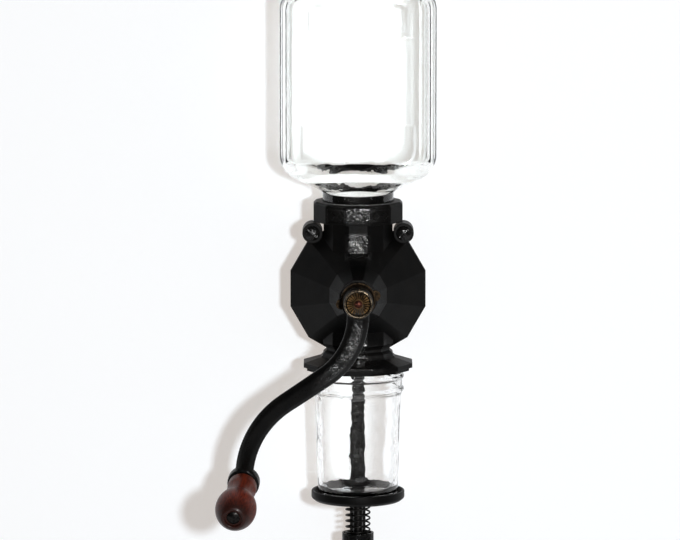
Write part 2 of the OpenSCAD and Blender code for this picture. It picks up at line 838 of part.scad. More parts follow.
module rotating_burr() {
    color("#403f3c")
        difference() {
            union() {
                forward(burr_d) cylinder(r = burr_r, h = burr_t);
                forward(burr_d) cylinder(r = burr_hub_r, h = burr_hub_d - burr_d);
            }
            forward(burr_d) rotate([180, 0, 0]) face_grooves(shaft_r + 5, burr_r, -groove_skew);
            forward(burr_d - 1) cylinder(r = shaft_r + 0.02, h = burr_hub_d - burr_d + 2);
            cross_pin_hole(burr_pin_d, burr_pin_r, 4 * burr_hub_r);
        }
}

module burr_pin() {
    color("#8d8f92") cross_pin_hole(burr_pin_d, burr_pin_r - 0.02, 2 * burr_hub_r - 1);
}

module thrust_washer() {
    color("#a8844a") forward(washer_d) ring(stem_r - slip, shaft_r + slip, washer_t);
}

// ---- Regulator ----

module regulator() {
    wing_r = 4;
    color("#4a3a26")
        difference() {
            union() {
                forward(stem_d) cylinder(r = stem_r - run_fit, h = regulator_d - stem_d + 1);
                forward(regulator_d) cylinder(r = regulator_r, h = regulator_t);
                forward(regulator_d + regulator_t - eps)
                    cylinder(r1 = regulator_r - 1, r2 = regulator_r - 4.5, h = regulator_dome_t);
                forward(regulator_d + 0.6) rotate([0, 0, wing_angle]) linear_extrude(regulator_t - 1.2)
                    for (turn = [0, 180])
                        rotate(turn) {
                            translate([wing_reach - wing_r, 0]) circle(r = wing_r);
                            translate([0, -wing_r]) square([wing_reach - wing_r, 2 * wing_r]);
                        }
            }
            forward(stem_d - 1) cylinder(r = shaft_r + run_fit, h = far);
        }
}

// ---- Crank ----

// Depth of the dished surface that the arm lies on, forward of the wall, at [x, z]
function dish(p) = arm_d - arm_set_back * pow(norm(p) / crank_l, 2);

// Outline round the arm at path point p, where the arm heads along h and is w wide and t thick
function arm_section(p, h, w, t) =
    let (bow = 2 * arm_set_back / pow(crank_l, 2),
        along = unit([cos(h), bow * (p * ahead(h)), sin(h)]),
        front = unit([bow * p[0], -1, bow * p[1]]),
        side = cross(front, along),
        middle = [p[0], -dish(p), p[1]])
    [for (i = [0:13])
        let (turn = 360 * i / 14, c = cos(turn), s = sin(turn))
        middle + side * (w / 2) * sign(c) * pow(abs(c), 0.75)
            + front * (t / 2) * sign(s) * pow(abs(s), s > 0 ? 1 : 0.6)];

// Stations along the arm as [point, heading]
arm_path = concat(
    [for (i = [0:1]) [bend_in * i / 2, start_heading]],
    [for (i = [0:9]) let (h = start_heading - upper_bend * i / 10)
        [upper_centre - upper_bend_r * right_of(h), h]],
    [for (i = [0:2]) [bend_out + (turn_in - bend_out) * i / 3, mid_heading]],
    [for (i = [0:9]) let (h = mid_heading + lower_bend * i / 10)
        [lower_centre + lower_bend_r * right_of(h), h]],
    [for (i = [0:1]) [turn_out + (arm_end_l - 0.6 * eye_r) * i * ahead(end_heading), end_heading]]);

// Places a shape in the eye, with its z axis along the knob's axis
module at_eye() {
    rotate([0, -crank_angle, 0]) translate([crank_l, arm_set_back - arm_d, 0]) rotate([0, -knob_turn, 0])
        rotate([0, 0, knob_lean]) rotate([90, 0, 0]) children();
}

module crank_arm() {
    last = len(arm_path) - 1;
    color("#17181a")
        difference() {
            union() {
                skin([for (i = [0:last]) arm_section(arm_path[i][0], arm_path[i][1],
                    arm_w + (arm_end_w - arm_w) * i / last, arm_t - arm_thinning * i / last)]);
                forward(hub_rear) cylinder(r = hub_r, h = hub_front - hub_rear);
                at_eye() translate([0, 0, -arm_t / 2]) cylinder(r = eye_r, h = arm_t);
            }
            forward(hub_floor) cylinder(r = hub_r - 2.2, h = hub_recess + 1);
            forward(hub_rear - 1) cylinder(r = shaft_r + slip, h = square_d - hub_rear + 1);
            forward(hub_rear) translate([-square_w / 2 - run_fit, -square_w / 2 - run_fit, 0])
                cube([square_w + 2 * run_fit, square_w + 2 * run_fit, hub_front - hub_rear]);
            at_eye() translate([0, 0, -arm_t]) cylinder(r = pin_r + 0.02, h = 2 * arm_t);
        }
}

// Washer with radial serrations in the hub's recess
module star_washer() {
    thick = 1.6;
    outer = hub_r - 2.2 - slip;
    teeth = 24;
    color("#6b4f2c") forward(hub_floor)
        difference() {
            ring(outer, 2.3, thick);
            for (i = [0:teeth - 1])
                rotate([0, 0, 360 * i / teeth]) translate([3.6, 0, thick]) rotate([90, 0, 90])
                    linear_extrude(outer) polygon([[-0.42, eps], [0.42, eps], [0, -0.9]]);
        }
}

module crank_screw() {
    color("#8a4b35") forward(hub_floor + 1.6) slotted_screw(2, 10, 3.1, 1.8);
}

module knob_washer() {
    color("#77797c") at_eye() translate([0, 0, arm_t / 2])
        ring(knob_neck_r - 1.4, pin_r + 0.02, knob_washer_t);
}

// Turned knob: a waisted neck with a crisp step to an egg-shaped ball, blunt at its end
module knob() {
    front_l = knob_tip - ball_at;
    front_r = (pow(front_l, 2) + pow(ball_r - tip_r, 2)) / (2 * (ball_r - tip_r));
    neck_l = knob_l * 0.39;
    neck_end_r = knob_neck_r - 0.9;
    back_l = ball_at - knob_base - neck_l;
    back_r = (pow(back_l, 2) + pow(ball_r - neck_end_r, 2)) / (2 * (ball_r - neck_end_r));
    waist_r = 30;
    waist_depth = 1.3;
    module half_ball(r, from, to) {
        intersection() {
            translate([ball_r - r, ball_at]) circle(r = r, $fn = 128);
            translate([0, from]) square([ball_r, to - from]);
        }
    }
    color("#5a2318") at_eye() rotate_extrude() difference() {
        union() {
            difference() {
                translate([0, knob_base]) square([knob_neck_r, ball_at - knob_base]);
                translate([knob_neck_r + waist_r - waist_depth, knob_base + 0.75 * neck_l])
                    circle(r = waist_r, $fn = 160);
            }
            half_ball(front_r, ball_at, knob_tip);
            half_ball(back_r, ball_at - back_l, ball_at);
        }
        square([pin_r + 0.08, far]);
        translate([0, knob_tip - tip_recess]) square([6.4, tip_recess + 1]);
    }
}

module knob_pin() {
    head_t = 1.8;
    head_at = knob_tip - tip_recess + 0.3;
    tail = 1.4;
    color("#3b2a22") at_eye() {
        translate([0, 0, -arm_t / 2 - eps]) cylinder(r = pin_r, h = head_at + arm_t / 2 + 2 * eps);
        translate([0, 0, head_at]) intersection() {
            cylinder(r = 5, h = head_t);
            translate([0, 0, head_t - 9]) sphere(r = 9);
        }
        translate([0, 0, -arm_t / 2 - tail]) cylinder(r1 = pin_r, r2 = pin_r + 1.2, h = tail);
    }
}

// ---- Catch jar and cup holder ----

// Half outline of the jar's outside, from the axis at the base up to the lip
function jar_outside() =
    concat([[0, 0]], arc([jar_base_r - 4, 4], 4, -90, 0, 4),
        [[jar_top_r, jar_h - 21], [jar_bead_r - 0.6, jar_h - 18], [jar_bead_r, jar_h - 17.2],
        [jar_bead_r, jar_h - 15.6], [jar_bead_r - 1.6, jar_h - 14.6], [jar_bead_r - 1.6, jar_h - 8.6],
        [jar_bead_r, jar_h - 7.6], [jar_bead_r, jar_h - 6], [jar_bead_r - 1.6, jar_h - 5],
        [jar_bead_r - 2, jar_h - 0.8], [jar_bead_r - 2.8, jar_h]]);

module catch_jar() {
    mouth_r = jar_bead_r - 1.6 - jar_t;
    color("#e3ecea", 0.35) upright(tray_floor) rotate_extrude($fn = 96) difference() {
        polygon(concat(jar_outside(), [[0, jar_h]]));
        polygon(concat([[0, jar_t + 0.8]], arc([jar_base_r - jar_t - 4, jar_t + 4.8], 4, -90, 0, 4),
            [[jar_top_r - jar_t, jar_h - 22], [mouth_r, jar_h - 17], [mouth_r, jar_h + 1], [0, jar_h + 1]]));
    }
}

// Half outline of the tray: a saucer with a bevelled rim and a hub under its floor
module tray() {
    rim_in = jar_base_r + 0.8;
    hub_h = 4;
    color("#1d1e1f") upright(tray_bottom)
        difference() {
            rotate_extrude($fn = 96) polygon([[0, -hub_h], [spring_r - wire_r - 0.9, -hub_h],
                [spring_r - wire_r - 0.5, 0], [tray_r - 3, 0], [tray_r, 2.4], [tray_r, tray_h - 0.6],
                [tray_r - 0.6, tray_h], [tray_r - 1.6, tray_h], [rim_in, tray_floor_t], [0, tray_floor_t]]);
            translate([0, 0, -hub_h - 1]) cylinder(r = rod_r + 0.02, h = hub_h + tray_floor_t - 0.2);
        }
}

// Cross pin through the stop collar and the rod, r thick and l long
module across_stop(r, l) {
    upright(stop_bottom + stop_h / 2) rotate([0, 90, 0]) cylinder(r = r, h = l, center = true, $fn = 32);
}

module tray_rod() {
    color("#2b2c2e") difference() {
        upright(rod_end) cylinder(r = rod_r, h = tray_bottom + tray_floor_t - 1.2 - rod_end);
        across_stop(rod_pin_r, far);
    }
}

module rod_stop() {
    color("#3a3b3d") difference() {
        upright(stop_bottom) ring(stop_r, rod_r + 0.02, stop_h);
        across_stop(rod_pin_r, far);
    }
}

module rod_pin() {
    color("#8d8f92") across_stop(rod_pin_r - 0.02, 2 * stop_r + 2);
}

module tray_spring() {
    color("#55565a") upright(spring_seat + run_fit)
        skin(coil(spring_r, wire_r, spring_l - 2 * run_fit, spring_turns, 14, 8));
}

// Holder's profile seen from the side: stem, gusseted arm and foot
module holder_side() {
    back = -stem_back;
    top = -(pad_w / 2 + 4);
    arm_top = boss_top - 8;
    polygon([[back, top], [stem_front, top], [stem_front, arm_top + 4], [stem_front - 6, arm_top],
        [axis_y, arm_top], [axis_y, boss_bottom + 3], [axis_y + 12, boss_bottom],
        [stem_front, foot_z + 8], [stem_front, foot_z], [back, foot_z]]);
}

// Countersunk heads of the holder's screws
head_d = 0.5;
head_r = 3.5;
head_t = 1.7;

module cup_bracket() {
    root_r = 8.6;
    root_h = 6.6;
    bevel = 2.4;
    side = stem_w / 2;
    edge = side - bevel;
    color("#141516")
        difference() {
            union() {
                intersection() {
                    rotate([90, 0, 90]) linear_extrude(stem_w, center = true) holder_side();
                    translate([0, 0, foot_z]) linear_extrude(-foot_z)
                        polygon([[-side, 0], [-side, stem_front + bevel], [-edge, stem_front], [-edge, -far],
                            [edge, -far], [edge, stem_front], [side, stem_front + bevel], [side, 0]]);
                }
                intersection() {
                    translate([0, stem_front + stem_depth / 2, ring_bottom - root_h - 0.4])
                        cylinder(r1 = side, r2 = root_r, h = root_h);
                    translate([-far, stem_front - 1.4, -far]) cube([2 * far, stem_depth + 1.4, 2 * far]);
                }
                translate([-tongue_w / 2, -tongue_t, ring_bottom + 2])
                    cube([tongue_w, tongue_t - 0.4, tongue_top - ring_bottom - 2]);
                upright(boss_bottom) cylinder(r = holder_boss_r, h = holder_boss_h);
                forward() linear_extrude(foot_t) {
                    for (end = [-1, 1])
                        translate([end * foot_hole_spacing / 2, foot_z]) circle(r = foot_lobe_r);
                    translate([-foot_hole_spacing / 2, foot_z - foot_lobe_r])
                        square([foot_hole_spacing, 2 * foot_lobe_r]);
                }
            }
            upright(boss_bottom - 1) cylinder(r = rod_r + run_fit, h = holder_boss_h + 2);
            upright(spring_seat) cylinder(r = spring_r + wire_r + 0.7, h = seat_depth + 1);
            for (end = [-1, 1])
                translate([end * foot_hole_spacing / 2, 0, foot_z]) forward(-1)
                    cylinder(r = foot_hole_r, h = foot_t + 3);
            at_bracket_screws() {
                rod(-1, bracket_screw_r + screw_slip, tongue_t + 3);
                forward(head_d - 0.1)
                    cylinder(r1 = head_r + 0.2, r2 = bracket_screw_r + screw_slip, h = head_t, $fn = 32);
            }
        }
}

module bracket_screws() {
    color("#77797c") at_bracket_screws() difference() {
        union() {
            forward(head_d) cylinder(r1 = head_r, r2 = bracket_screw_r, h = head_t, $fn = 32);
            rod(head_d, bracket_screw_r, tongue_t + bracket_screw_bite);
        }
        forward(head_d - eps) translate([-4, -0.4, 0]) cube([8, 0.8, 0.8]);
    }
}

housing_rear();
housing_front();
cover_screws();
foot_screw();
hopper_glass();
hopper_lid();
lid_knob();
shaft();
end_spring();
feed_auger();
fixed_burr();
burr_screws();
rotating_burr();
burr_pin();
thrust_washer();
regulator();
crank_arm();
star_washer();
crank_screw();
knob_washer();
knob();
knob_pin();
cup_bracket();
bracket_screws();
tray();
tray_rod();
tray_spring();
rod_stop();
rod_pin();
catch_jar();
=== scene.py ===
"""Dresses the wall coffee mill with finer meshes and finishes, hangs it on a wall and lights it."""

import logging
import math
from dataclasses import dataclass, field
from enum import Enum
from typing import Mapping, Sequence

import bmesh
import bpy
import numpy as np
from mathutils import Matrix, Vector


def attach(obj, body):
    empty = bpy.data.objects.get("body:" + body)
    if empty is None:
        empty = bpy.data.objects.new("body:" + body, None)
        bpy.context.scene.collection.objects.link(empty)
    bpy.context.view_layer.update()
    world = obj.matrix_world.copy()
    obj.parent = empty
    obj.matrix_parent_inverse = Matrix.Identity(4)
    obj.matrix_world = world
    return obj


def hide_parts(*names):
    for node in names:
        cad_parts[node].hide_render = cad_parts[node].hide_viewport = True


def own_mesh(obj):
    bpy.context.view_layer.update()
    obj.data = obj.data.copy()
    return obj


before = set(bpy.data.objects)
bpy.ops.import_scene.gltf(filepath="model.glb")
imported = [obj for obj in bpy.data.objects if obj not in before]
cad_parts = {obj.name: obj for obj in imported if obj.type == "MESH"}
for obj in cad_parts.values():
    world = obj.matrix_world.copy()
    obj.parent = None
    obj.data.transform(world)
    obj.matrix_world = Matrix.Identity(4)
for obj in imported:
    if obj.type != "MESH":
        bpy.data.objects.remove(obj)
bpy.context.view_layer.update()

MM = 0.001
WELD = 0.002 * MM  # Points closer than this become one.
AXIS_OUT = 48.0  # The upright axis of neck, burrs and jar stands this many millimetres off the wall.
LOG = logging.getLogger("mill")

Point = tuple[float, float]
Place = tuple[float, float, float]
Colour = tuple[float, float, float, float]
Tree = bpy.types.NodeTree
Node = bpy.types.Node
Source = Node | bpy.types.NodeSocket


# ---- Colours and nodes ----


def srgb(code: str) -> Colour:
    """Turns an sRGB hex value into a linear colour.

    Args:
        code: Six hex digits after a number sign.

    Returns:
        The linear red, green and blue, and an alpha of 1.
    """
    parts = (int(code[i : i + 2], 16) / 255 for i in (1, 3, 5))
    return (*(p / 12.92 if p <= 0.04045 else ((p + 0.055) / 1.055) ** 2.4 for p in parts), 1.0)


def add_node(
    tree: Tree,
    kind: str,
    settings: Mapping[str | int, object] | None = None,
    links: Mapping[str | int, Source] | None = None,
) -> Node:
    """Adds a node with its settings and links.

    Args:
        tree: The node tree that gets the node.
        kind: The node's type, without the common ShaderNode.
        settings: Values by property name, input name or input number; an input's hex value is a colour.
        links: Sources by input name or number; a node stands for its first output.

    Returns:
        The new node.
    """
    node = tree.nodes.new("ShaderNode" + kind)
    for name, value in (settings or {}).items():
        if isinstance(name, str) and hasattr(node, name):
            setattr(node, name, value)
        else:
            node.inputs[name].default_value = srgb(value) if isinstance(value, str) else value
    for name, source in (links or {}).items():
        tree.links.new(source.outputs[0] if isinstance(source, Node) else source, node.inputs[name])
    return node


# ---- Finishes ----


@dataclass(frozen=True)
class Finish:
    """A surface, named for its material and for how it was made."""

    name: str

    def material(self) -> bpy.types.Material:
        """Makes this finish's material on first use.

        Returns:
            The material.
        """
        made = bpy.data.materials.get(self.name)
        if made is None:
            made = bpy.data.materials.new(self.name)
            made.use_nodes = True
            made.node_tree.nodes.clear()
            self.paint(made.node_tree)
        return made

    def paint(self, tree: Tree) -> None:
        """Builds the finish's nodes in the tree."""
        raise NotImplementedError


def noise(
    tree: Tree,
    size_mm: float,
    detail: float,
    stretch: Sequence[float] = (1, 1, 1),
    place: Source | None = None,
) -> Node:
    """Adds noise whose blobs have a real size.

    Args:
        tree: The node tree.
        size_mm: Size of a blob in millimetres.
        detail: Number of finer octaves.
        stretch: How many times longer the blobs are along each axis.
        place: Coordinates to use; none means the piece's own.

    Returns:
        The noise, whose first output is its value.
    """
    if place is None:
        place = add_node(tree, "TexCoord").outputs["Object"]
    scale = tuple(1 / (size_mm * MM * s) for s in stretch)
    sized = add_node(tree, "Mapping", {"Scale": scale}, {"Vector": place})
    return add_node(tree, "TexNoise", {"Scale": 1.0, "Detail": detail, "Roughness": 0.55}, {"Vector": sized})


@dataclass(frozen=True)
class Patch:
    """A box-shaped place on a piece, in millimetres along the mill's axes, with soft edges."""

    centre: Place
    half: Place
    soft: float = 0.25

    def mask(self, tree: Tree) -> Node:
        """Adds the patch's mask.

        Args:
            tree: The node tree.

        Returns:
            A node that gives 1 inside and 0 outside.
        """
        place = add_node(tree, "TexCoord").outputs["Object"]
        scale = tuple(1 / (h * MM) for h in self.half)
        shift = tuple(-c / h for c, h in zip(self.centre, self.half))
        local = add_node(tree, "Mapping", {"Scale": scale, "Location": shift}, {"Vector": place})
        size = add_node(tree, "VectorMath", {"operation": "ABSOLUTE"}, {0: local})
        x, y, z = add_node(tree, "SeparateXYZ", links={0: size}).outputs
        wide = add_node(tree, "Math", {"operation": "MAXIMUM"}, {0: x, 1: y})
        most = add_node(tree, "Math", {"operation": "MAXIMUM"}, {0: wide, 1: z})
        edge = {"From Min": 1 + self.soft, "From Max": 1 - self.soft}
        return add_node(tree, "MapRange", edge, {"Value": most})


@dataclass(frozen=True)
class WornRim:
    """A ring round the shaft where hands have worn the japan down to the metal, in millimetres."""

    inner: float
    outer: float
    front: float
    fade_in: float = 0.5
    fade_out: float = 0.4
    fade_back: float = 1.2
    scuff_mm: float = 3.5
    tarnish_mm: float = 1.2
    colour: str = "#6A5E4E"
    dark: str = "#14110E"

    def mask(self, tree: Tree) -> Node:
        """Adds the worn ring's mask.

        Args:
            tree: The node tree.

        Returns:
            A node that gives 1 where bare metal shows.
        """
        place = add_node(tree, "TexCoord").outputs["Object"]
        x, y, z = add_node(tree, "SeparateXYZ", links={0: place}).outputs
        flat = add_node(tree, "CombineXYZ", links={0: x, 1: z})
        radius = add_node(tree, "VectorMath", {"operation": "LENGTH"}, {0: flat}).outputs["Value"]
        scuffs = {"From Min": 0.36, "From Max": 0.5, "To Min": 0.15}
        bare = add_node(tree, "MapRange", scuffs, {"Value": noise(tree, self.scuff_mm, 3.0)})
        for measure, start, end in (
            (radius, self.inner, self.inner + self.fade_in),
            (radius, self.outer + self.fade_out, self.outer),
            (y, self.fade_back - self.front, -self.front),
        ):
            ends = {"From Min": start * MM, "From Max": end * MM}
            edge = add_node(tree, "MapRange", ends, {"Value": measure})
            bare = add_node(tree, "Math", {"operation": "MULTIPLY"}, {0: bare, 1: edge})
        return bare


@dataclass(frozen=True)
class JapannedIron(Finish):
    """Cast iron under baked black japan: a dark satin skin that keeps the sand's grain and softens edges."""

    colour: str = "#050505"
    worn: str = "#0B0A09"
    rough_low: float = 0.36
    rough_high: float = 0.5
    sheen: float = 0.06
    # Moulding sand is about 0.3 mm across; its grain is drawn at 0.9 mm or more, the finest that shows.
    grain_mm: float = 0.9
    grain_depth_mm: float = 0.04
    wave_mm: float = 16.0
    wave_depth_mm: float = 0.16
    edge_mm: float = 0.9
    coat: float = 0.0
    wet_coat: float = 1.0
    coat_rough: float = 0.14
    crust_mm: float = 1.9
    crust_depth_mm: float = 0.75
    runs_mm: float = 6.0
    thick_japan: tuple[Patch, ...] = ()
    flat_only: bool = False
    rim: WornRim | None = None

    def wetness(self, tree: Tree) -> Node | None:
        """Adds the mask of thick glossy japan.

        Args:
            tree: The node tree.

        Returns:
            A node that gives 1 where the japan ran thick, or none where the coat is even.
        """
        if not self.thick_japan:
            return None
        wet = self.thick_japan[0].mask(tree)
        for patch in self.thick_japan[1:]:
            wet = add_node(tree, "Math", {"operation": "MAXIMUM"}, {0: wet, 1: patch.mask(tree)})
        streaks = {"From Min": 0.4, "From Max": 0.5, "To Min": 0.4}
        runs = add_node(tree, "MapRange", streaks, {"Value": noise(tree, self.runs_mm, 3.0)})
        wet = add_node(tree, "Math", {"operation": "MULTIPLY"}, {0: wet, 1: runs})
        if self.flat_only:
            facing = add_node(tree, "TexCoord").outputs["Normal"]
            back = add_node(tree, "SeparateXYZ", links={0: facing}).outputs["Y"]
            flat = add_node(tree, "MapRange", {"From Min": -0.85, "From Max": -0.95}, {"Value": back})
            wet = add_node(tree, "Math", {"operation": "MULTIPLY"}, {0: wet, 1: flat})
        return wet

    def relief(self, tree: Tree, wet: Node | None) -> Node:
        """Adds the casting's waves, its grain and, where the japan ran thick, its crust.

        Args:
            tree: The node tree.
            wet: Where the japan is thick, or none.

        Returns:
            The last bump node.
        """
        layers = [
            (noise(tree, self.wave_mm, 2.0), self.wave_depth_mm),
            (noise(tree, self.grain_mm, 3.0), self.grain_depth_mm),
        ]
        if wet is not None:
            lumps = noise(tree, self.crust_mm, 2.0)
            crust = add_node(tree, "Math", {"operation": "MULTIPLY"}, {0: lumps, 1: wet})
            layers.append((crust, self.crust_depth_mm))
        surface = add_node(tree, "Bevel", {"samples": 4, "Radius": self.edge_mm * MM})
        for height, depth in layers:
            surface = add_node(tree, "Bump", {"Distance": depth * MM}, {"Height": height, "Normal": surface})
        return surface

    def paint(self, tree: Tree) -> None:
        """Builds the iron's nodes.

        Args:
            tree: The node tree.
        """
        wet = self.wetness(tree)
        relief = self.relief(tree, wet)
        rubbed = {"From Min": 0.35, "From Max": 0.7}
        share = add_node(tree, "MapRange", rubbed, {"Value": noise(tree, self.wave_mm, 2.0)})
        shades = {"data_type": "RGBA", 6: self.colour, 7: self.worn}
        colour = add_node(tree, "Mix", shades, {0: share}).outputs[2]
        satin = {"From Min": 0.3, "From Max": 0.7, "To Min": self.rough_low, "To Max": self.rough_high}
        rough = add_node(tree, "MapRange", satin, {"Value": noise(tree, self.grain_mm, 3.0)})
        links = {"Roughness": rough, "Normal": relief, "Coat Normal": relief}
        if wet is not None:
            gloss = {"To Min": self.coat, "To Max": self.wet_coat}
            links["Coat Weight"] = add_node(tree, "MapRange", gloss, {"Value": wet})
        if self.rim is not None:
            bare = self.rim.mask(tree)
            tarnish = {"From Min": 0.4, "From Max": 0.6}
            share = add_node(tree, "MapRange", tarnish, {"Value": noise(tree, self.rim.tarnish_mm, 3.0)})
            shades = {"data_type": "RGBA", 6: self.rim.dark, 7: self.rim.colour}
            metal = add_node(tree, "Mix", shades, {0: share}).outputs[2]
            colour = add_node(tree, "Mix", {"data_type": "RGBA"}, {0: bare, 6: colour, 7: metal}).outputs[2]
            links["Metallic"] = bare
        japan = {
            "IOR": 1.5,
            "Specular IOR Level": self.sheen,
            "Coat Weight": self.coat,
            "Coat Roughness": self.coat_rough,
        }
        shader = add_node(tree, "BsdfPrincipled", japan, links | {"Base Color": colour})
        add_node(tree, "OutputMaterial", links={"Surface": shader})


@dataclass(frozen=True)
class Metal(Finish):
    """Bare or aged metal: a turned or cast skin whose bright base shows through a darker patina."""

    colour: str = "#8C8E90"
    patina: str = "#5C5D5F"
    rough_low: float = 0.28
    rough_high: float = 0.45
    patina_mm: float = 3.0
    # Tool marks are about 0.1 mm apart; they are drawn at 0.4 mm or more, the finest that shows.
    grain_mm: float = 0.5
    grain_depth_mm: float = 0.02
    edge_mm: float = 0.3

    def paint(self, tree: Tree) -> None:
        """Builds the metal's nodes.

        Args:
            tree: The node tree.
        """
        stain = noise(tree, self.patina_mm, 4.0)
        share = add_node(tree, "MapRange", {"From Min": 0.35, "From Max": 0.65}, {"Value": stain})
        shades = {"data_type": "RGBA", 6: self.colour, 7: self.patina}
        colour = add_node(tree, "Mix", shades, {0: share}).outputs[2]
        polish = {"From Min": 0.3, "From Max": 0.7, "To Min": self.rough_low, "To Max": self.rough_high}
        rough = add_node(tree, "MapRange", polish, {"Value": stain})
        edge = add_node(tree, "Bevel", {"samples": 4, "Radius": self.edge_mm * MM})
        marks = {"Height": noise(tree, self.grain_mm, 2.0), "Normal": edge}
        bump = add_node(tree, "Bump", {"Distance": self.grain_depth_mm * MM}, marks)
        links = {"Base Color": colour, "Roughness": rough, "Normal": bump}
        shader = add_node(tree, "BsdfPrincipled", {"Metallic": 1.0}, links)
        add_node(tree, "OutputMaterial", links={"Surface": shader})


@dataclass(frozen=True)
class PressedGlass(Finish):
    """Clear soda glass pressed in an iron mould: a fire-polished skin whose slow swell wavers the view."""

    tint: str = "#FAFBFA"
    wave_mm: float = 9.0
    wave_depth_mm: float = 0.08
    thin_shade: str = "#E6E5E4"
    edge_shade: str = "#75726F"

    def paint(self, tree: Tree) -> None:
        """Builds the glass's nodes.

        Args:
            tree: The node tree.
        """
        waves = {"Height": noise(tree, self.wave_mm, 1.5)}
        swell = add_node(tree, "Bump", {"Distance": self.wave_depth_mm * MM}, waves)
        clear = {"Base Color": self.tint, "Roughness": 0.0, "IOR": 1.5, "Transmission Weight": 1.0}
        glass = add_node(tree, "BsdfPrincipled", clear, {"Normal": swell})
        # A lamp's light passes through thin clear glass and loses most at its slopes, which draws the flutes
        # and the rim in the shadow.
        slope = add_node(tree, "LayerWeight", {"Blend": 0.5}, {"Normal": swell}).outputs["Facing"]
        lost = add_node(tree, "MapRange", {"From Min": 0.02, "From Max": 0.5}, {"Value": slope})
        shades = {"data_type": "RGBA", 6: self.thin_shade, 7: self.edge_shade}
        shadow = add_node(tree, "Mix", shades, {0: lost}).outputs[2]
        through = add_node(tree, "BsdfTransparent", links={"Color": shadow})
        lamp_ray = add_node(tree, "LightPath").outputs["Is Shadow Ray"]
        both = add_node(tree, "MixShader", links={0: lamp_ray, 1: glass, 2: through})
        add_node(tree, "OutputMaterial", links={"Surface": both})


@dataclass(frozen=True)
class TurnedWood(Finish):
    """Mahogany turned on a lathe, stained and varnished: long grain under a soft gloss, dark at its tip."""

    light: str = "#6E2816"
    dark: str = "#42130B"
    neck: str = "#471A0C"
    end: str = "#160906"
    grain_mm: float = 1.1
    grain_run: float = 22.0
    # Pores are about 0.15 mm across; they are drawn at 0.35 mm, the finest that shows.
    pore_mm: float = 0.35
    pore_run: float = 12.0
    pore_depth_mm: float = 0.02
    stands: Matrix = field(default_factory=Matrix)

    def paint(self, tree: Tree) -> None:
        """Builds the wood's nodes, along the axis that it was turned on.

        Args:
            tree: The node tree.
        """
        axis = {
            "vector_type": "TEXTURE",
            "Location": self.stands.translation * MM,
            "Rotation": self.stands.to_euler(),
        }
        whole = add_node(tree, "TexCoord").outputs["Object"]
        turned = add_node(tree, "Mapping", axis, {"Vector": whole})
        grain = noise(tree, self.grain_mm, 3.0, (1, 1, self.grain_run), turned)
        pores = noise(tree, self.pore_mm, 1.0, (1, 1, self.pore_run), turned)
        share = add_node(tree, "MapRange", {"From Min": 0.35, "From Max": 0.65}, {"Value": grain})
        shades = {"data_type": "RGBA", 6: self.dark, 7: self.light}
        colour = add_node(tree, "Mix", shades, {0: share}).outputs[2]
        along = add_node(tree, "SeparateXYZ", links={0: turned}).outputs["Z"]
        for shade, low_mm, high_mm, at_low, at_high in (
            (self.neck, 18, 30, 0.5, 0.0),
            (self.end, 45, 57.5, 0.0, 0.9),
        ):
            ends = {"From Min": low_mm * MM, "From Max": high_mm * MM, "To Min": at_low, "To Max": at_high}
            share = add_node(tree, "MapRange", ends, {"Value": along})
            mix = {"data_type": "RGBA", 7: shade}
            colour = add_node(tree, "Mix", mix, {0: share, 6: colour}).outputs[2]
        varnish = {"From Min": 0.3, "From Max": 0.7, "To Min": 0.38, "To Max": 0.5}
        rough = add_node(tree, "MapRange", varnish, {"Value": pores})
        bump = add_node(tree, "Bump", {"Distance": self.pore_depth_mm * MM}, {"Height": pores})
        gloss = {"IOR": 1.5, "Specular IOR Level": 0.14, "Coat Weight": 0.1, "Coat Roughness": 0.22}
        links = {"Base Color": colour, "Roughness": rough, "Normal": bump}
        shader = add_node(tree, "BsdfPrincipled", gloss, links)
        add_node(tree, "OutputMaterial", links={"Surface": shader})


# Satin black, with a wet crusted gloss where the japan ran thick on the throat, the collar and the spout.
BODY_IRON = JapannedIron(
    "japanned_cast_iron_satin",
    thick_japan=(
        Patch((0, -86, 35), (8.0, 16, 8), 0.3),
        Patch((0, -80, 60), (14, 14, 5), 0.5),
        Patch((4, -84, -48), (12, 14, 8), 0.5),
    ),
)
# A glossier black that sparkles on the arm's flat front and is rubbed to brown metal round the hub.
CRANK_IRON = JapannedIron(
    "japanned_crank_gloss",
    rough_low=0.26,
    rough_high=0.4,
    sheen=0.1,
    grain_mm=1.6,
    grain_depth_mm=0.08,
    wave_mm=9.0,
    wave_depth_mm=0.4,
    edge_mm=0.6,
    wet_coat=0.8,
    crust_mm=1.6,
    crust_depth_mm=0.7,
    flat_only=True,
    thick_japan=(Patch((-8, -120, -48), (20, 30, 30), 0.4),),
    rim=WornRim(8.3, 11.2, 131.6),
)
# A rough sand casting under a thick coat, so its lights break into lumps.
LUMPY_IRON = JapannedIron(
    "japanned_iron_thick_gloss",
    rough_low=0.24,
    rough_high=0.36,
    sheen=0.05,
    grain_mm=2.2,
    grain_depth_mm=0.3,
    wave_mm=7.0,
    wave_depth_mm=1.2,
    edge_mm=0.6,
    coat=0.12,
)
# Small heads dipped in japan, with a glint on each rounded edge.
SCREW_IRON = JapannedIron(
    "japanned_screw_gloss",
    rough_low=0.2,
    rough_high=0.32,
    sheen=0.12,
    grain_mm=1.3,
    grain_depth_mm=0.25,
    wave_mm=4.0,
    wave_depth_mm=0.5,
    edge_mm=0.4,
    coat=0.35,
)
# Thin and clean, with dark lines only where its slopes bend light away; the jar's wall wavers more. Each has
# its tint, then the size and depth of its swell in millimetres.
CLEAR_GLASS = PressedGlass("pressed_soda_glass", "#FDFEFD", 8.0, 0.14)
JAR_GLASS = PressedGlass("pressed_jar_glass", "#FEFEFE", 11.0, 0.5, "#F8F8F7", "#A09C98")
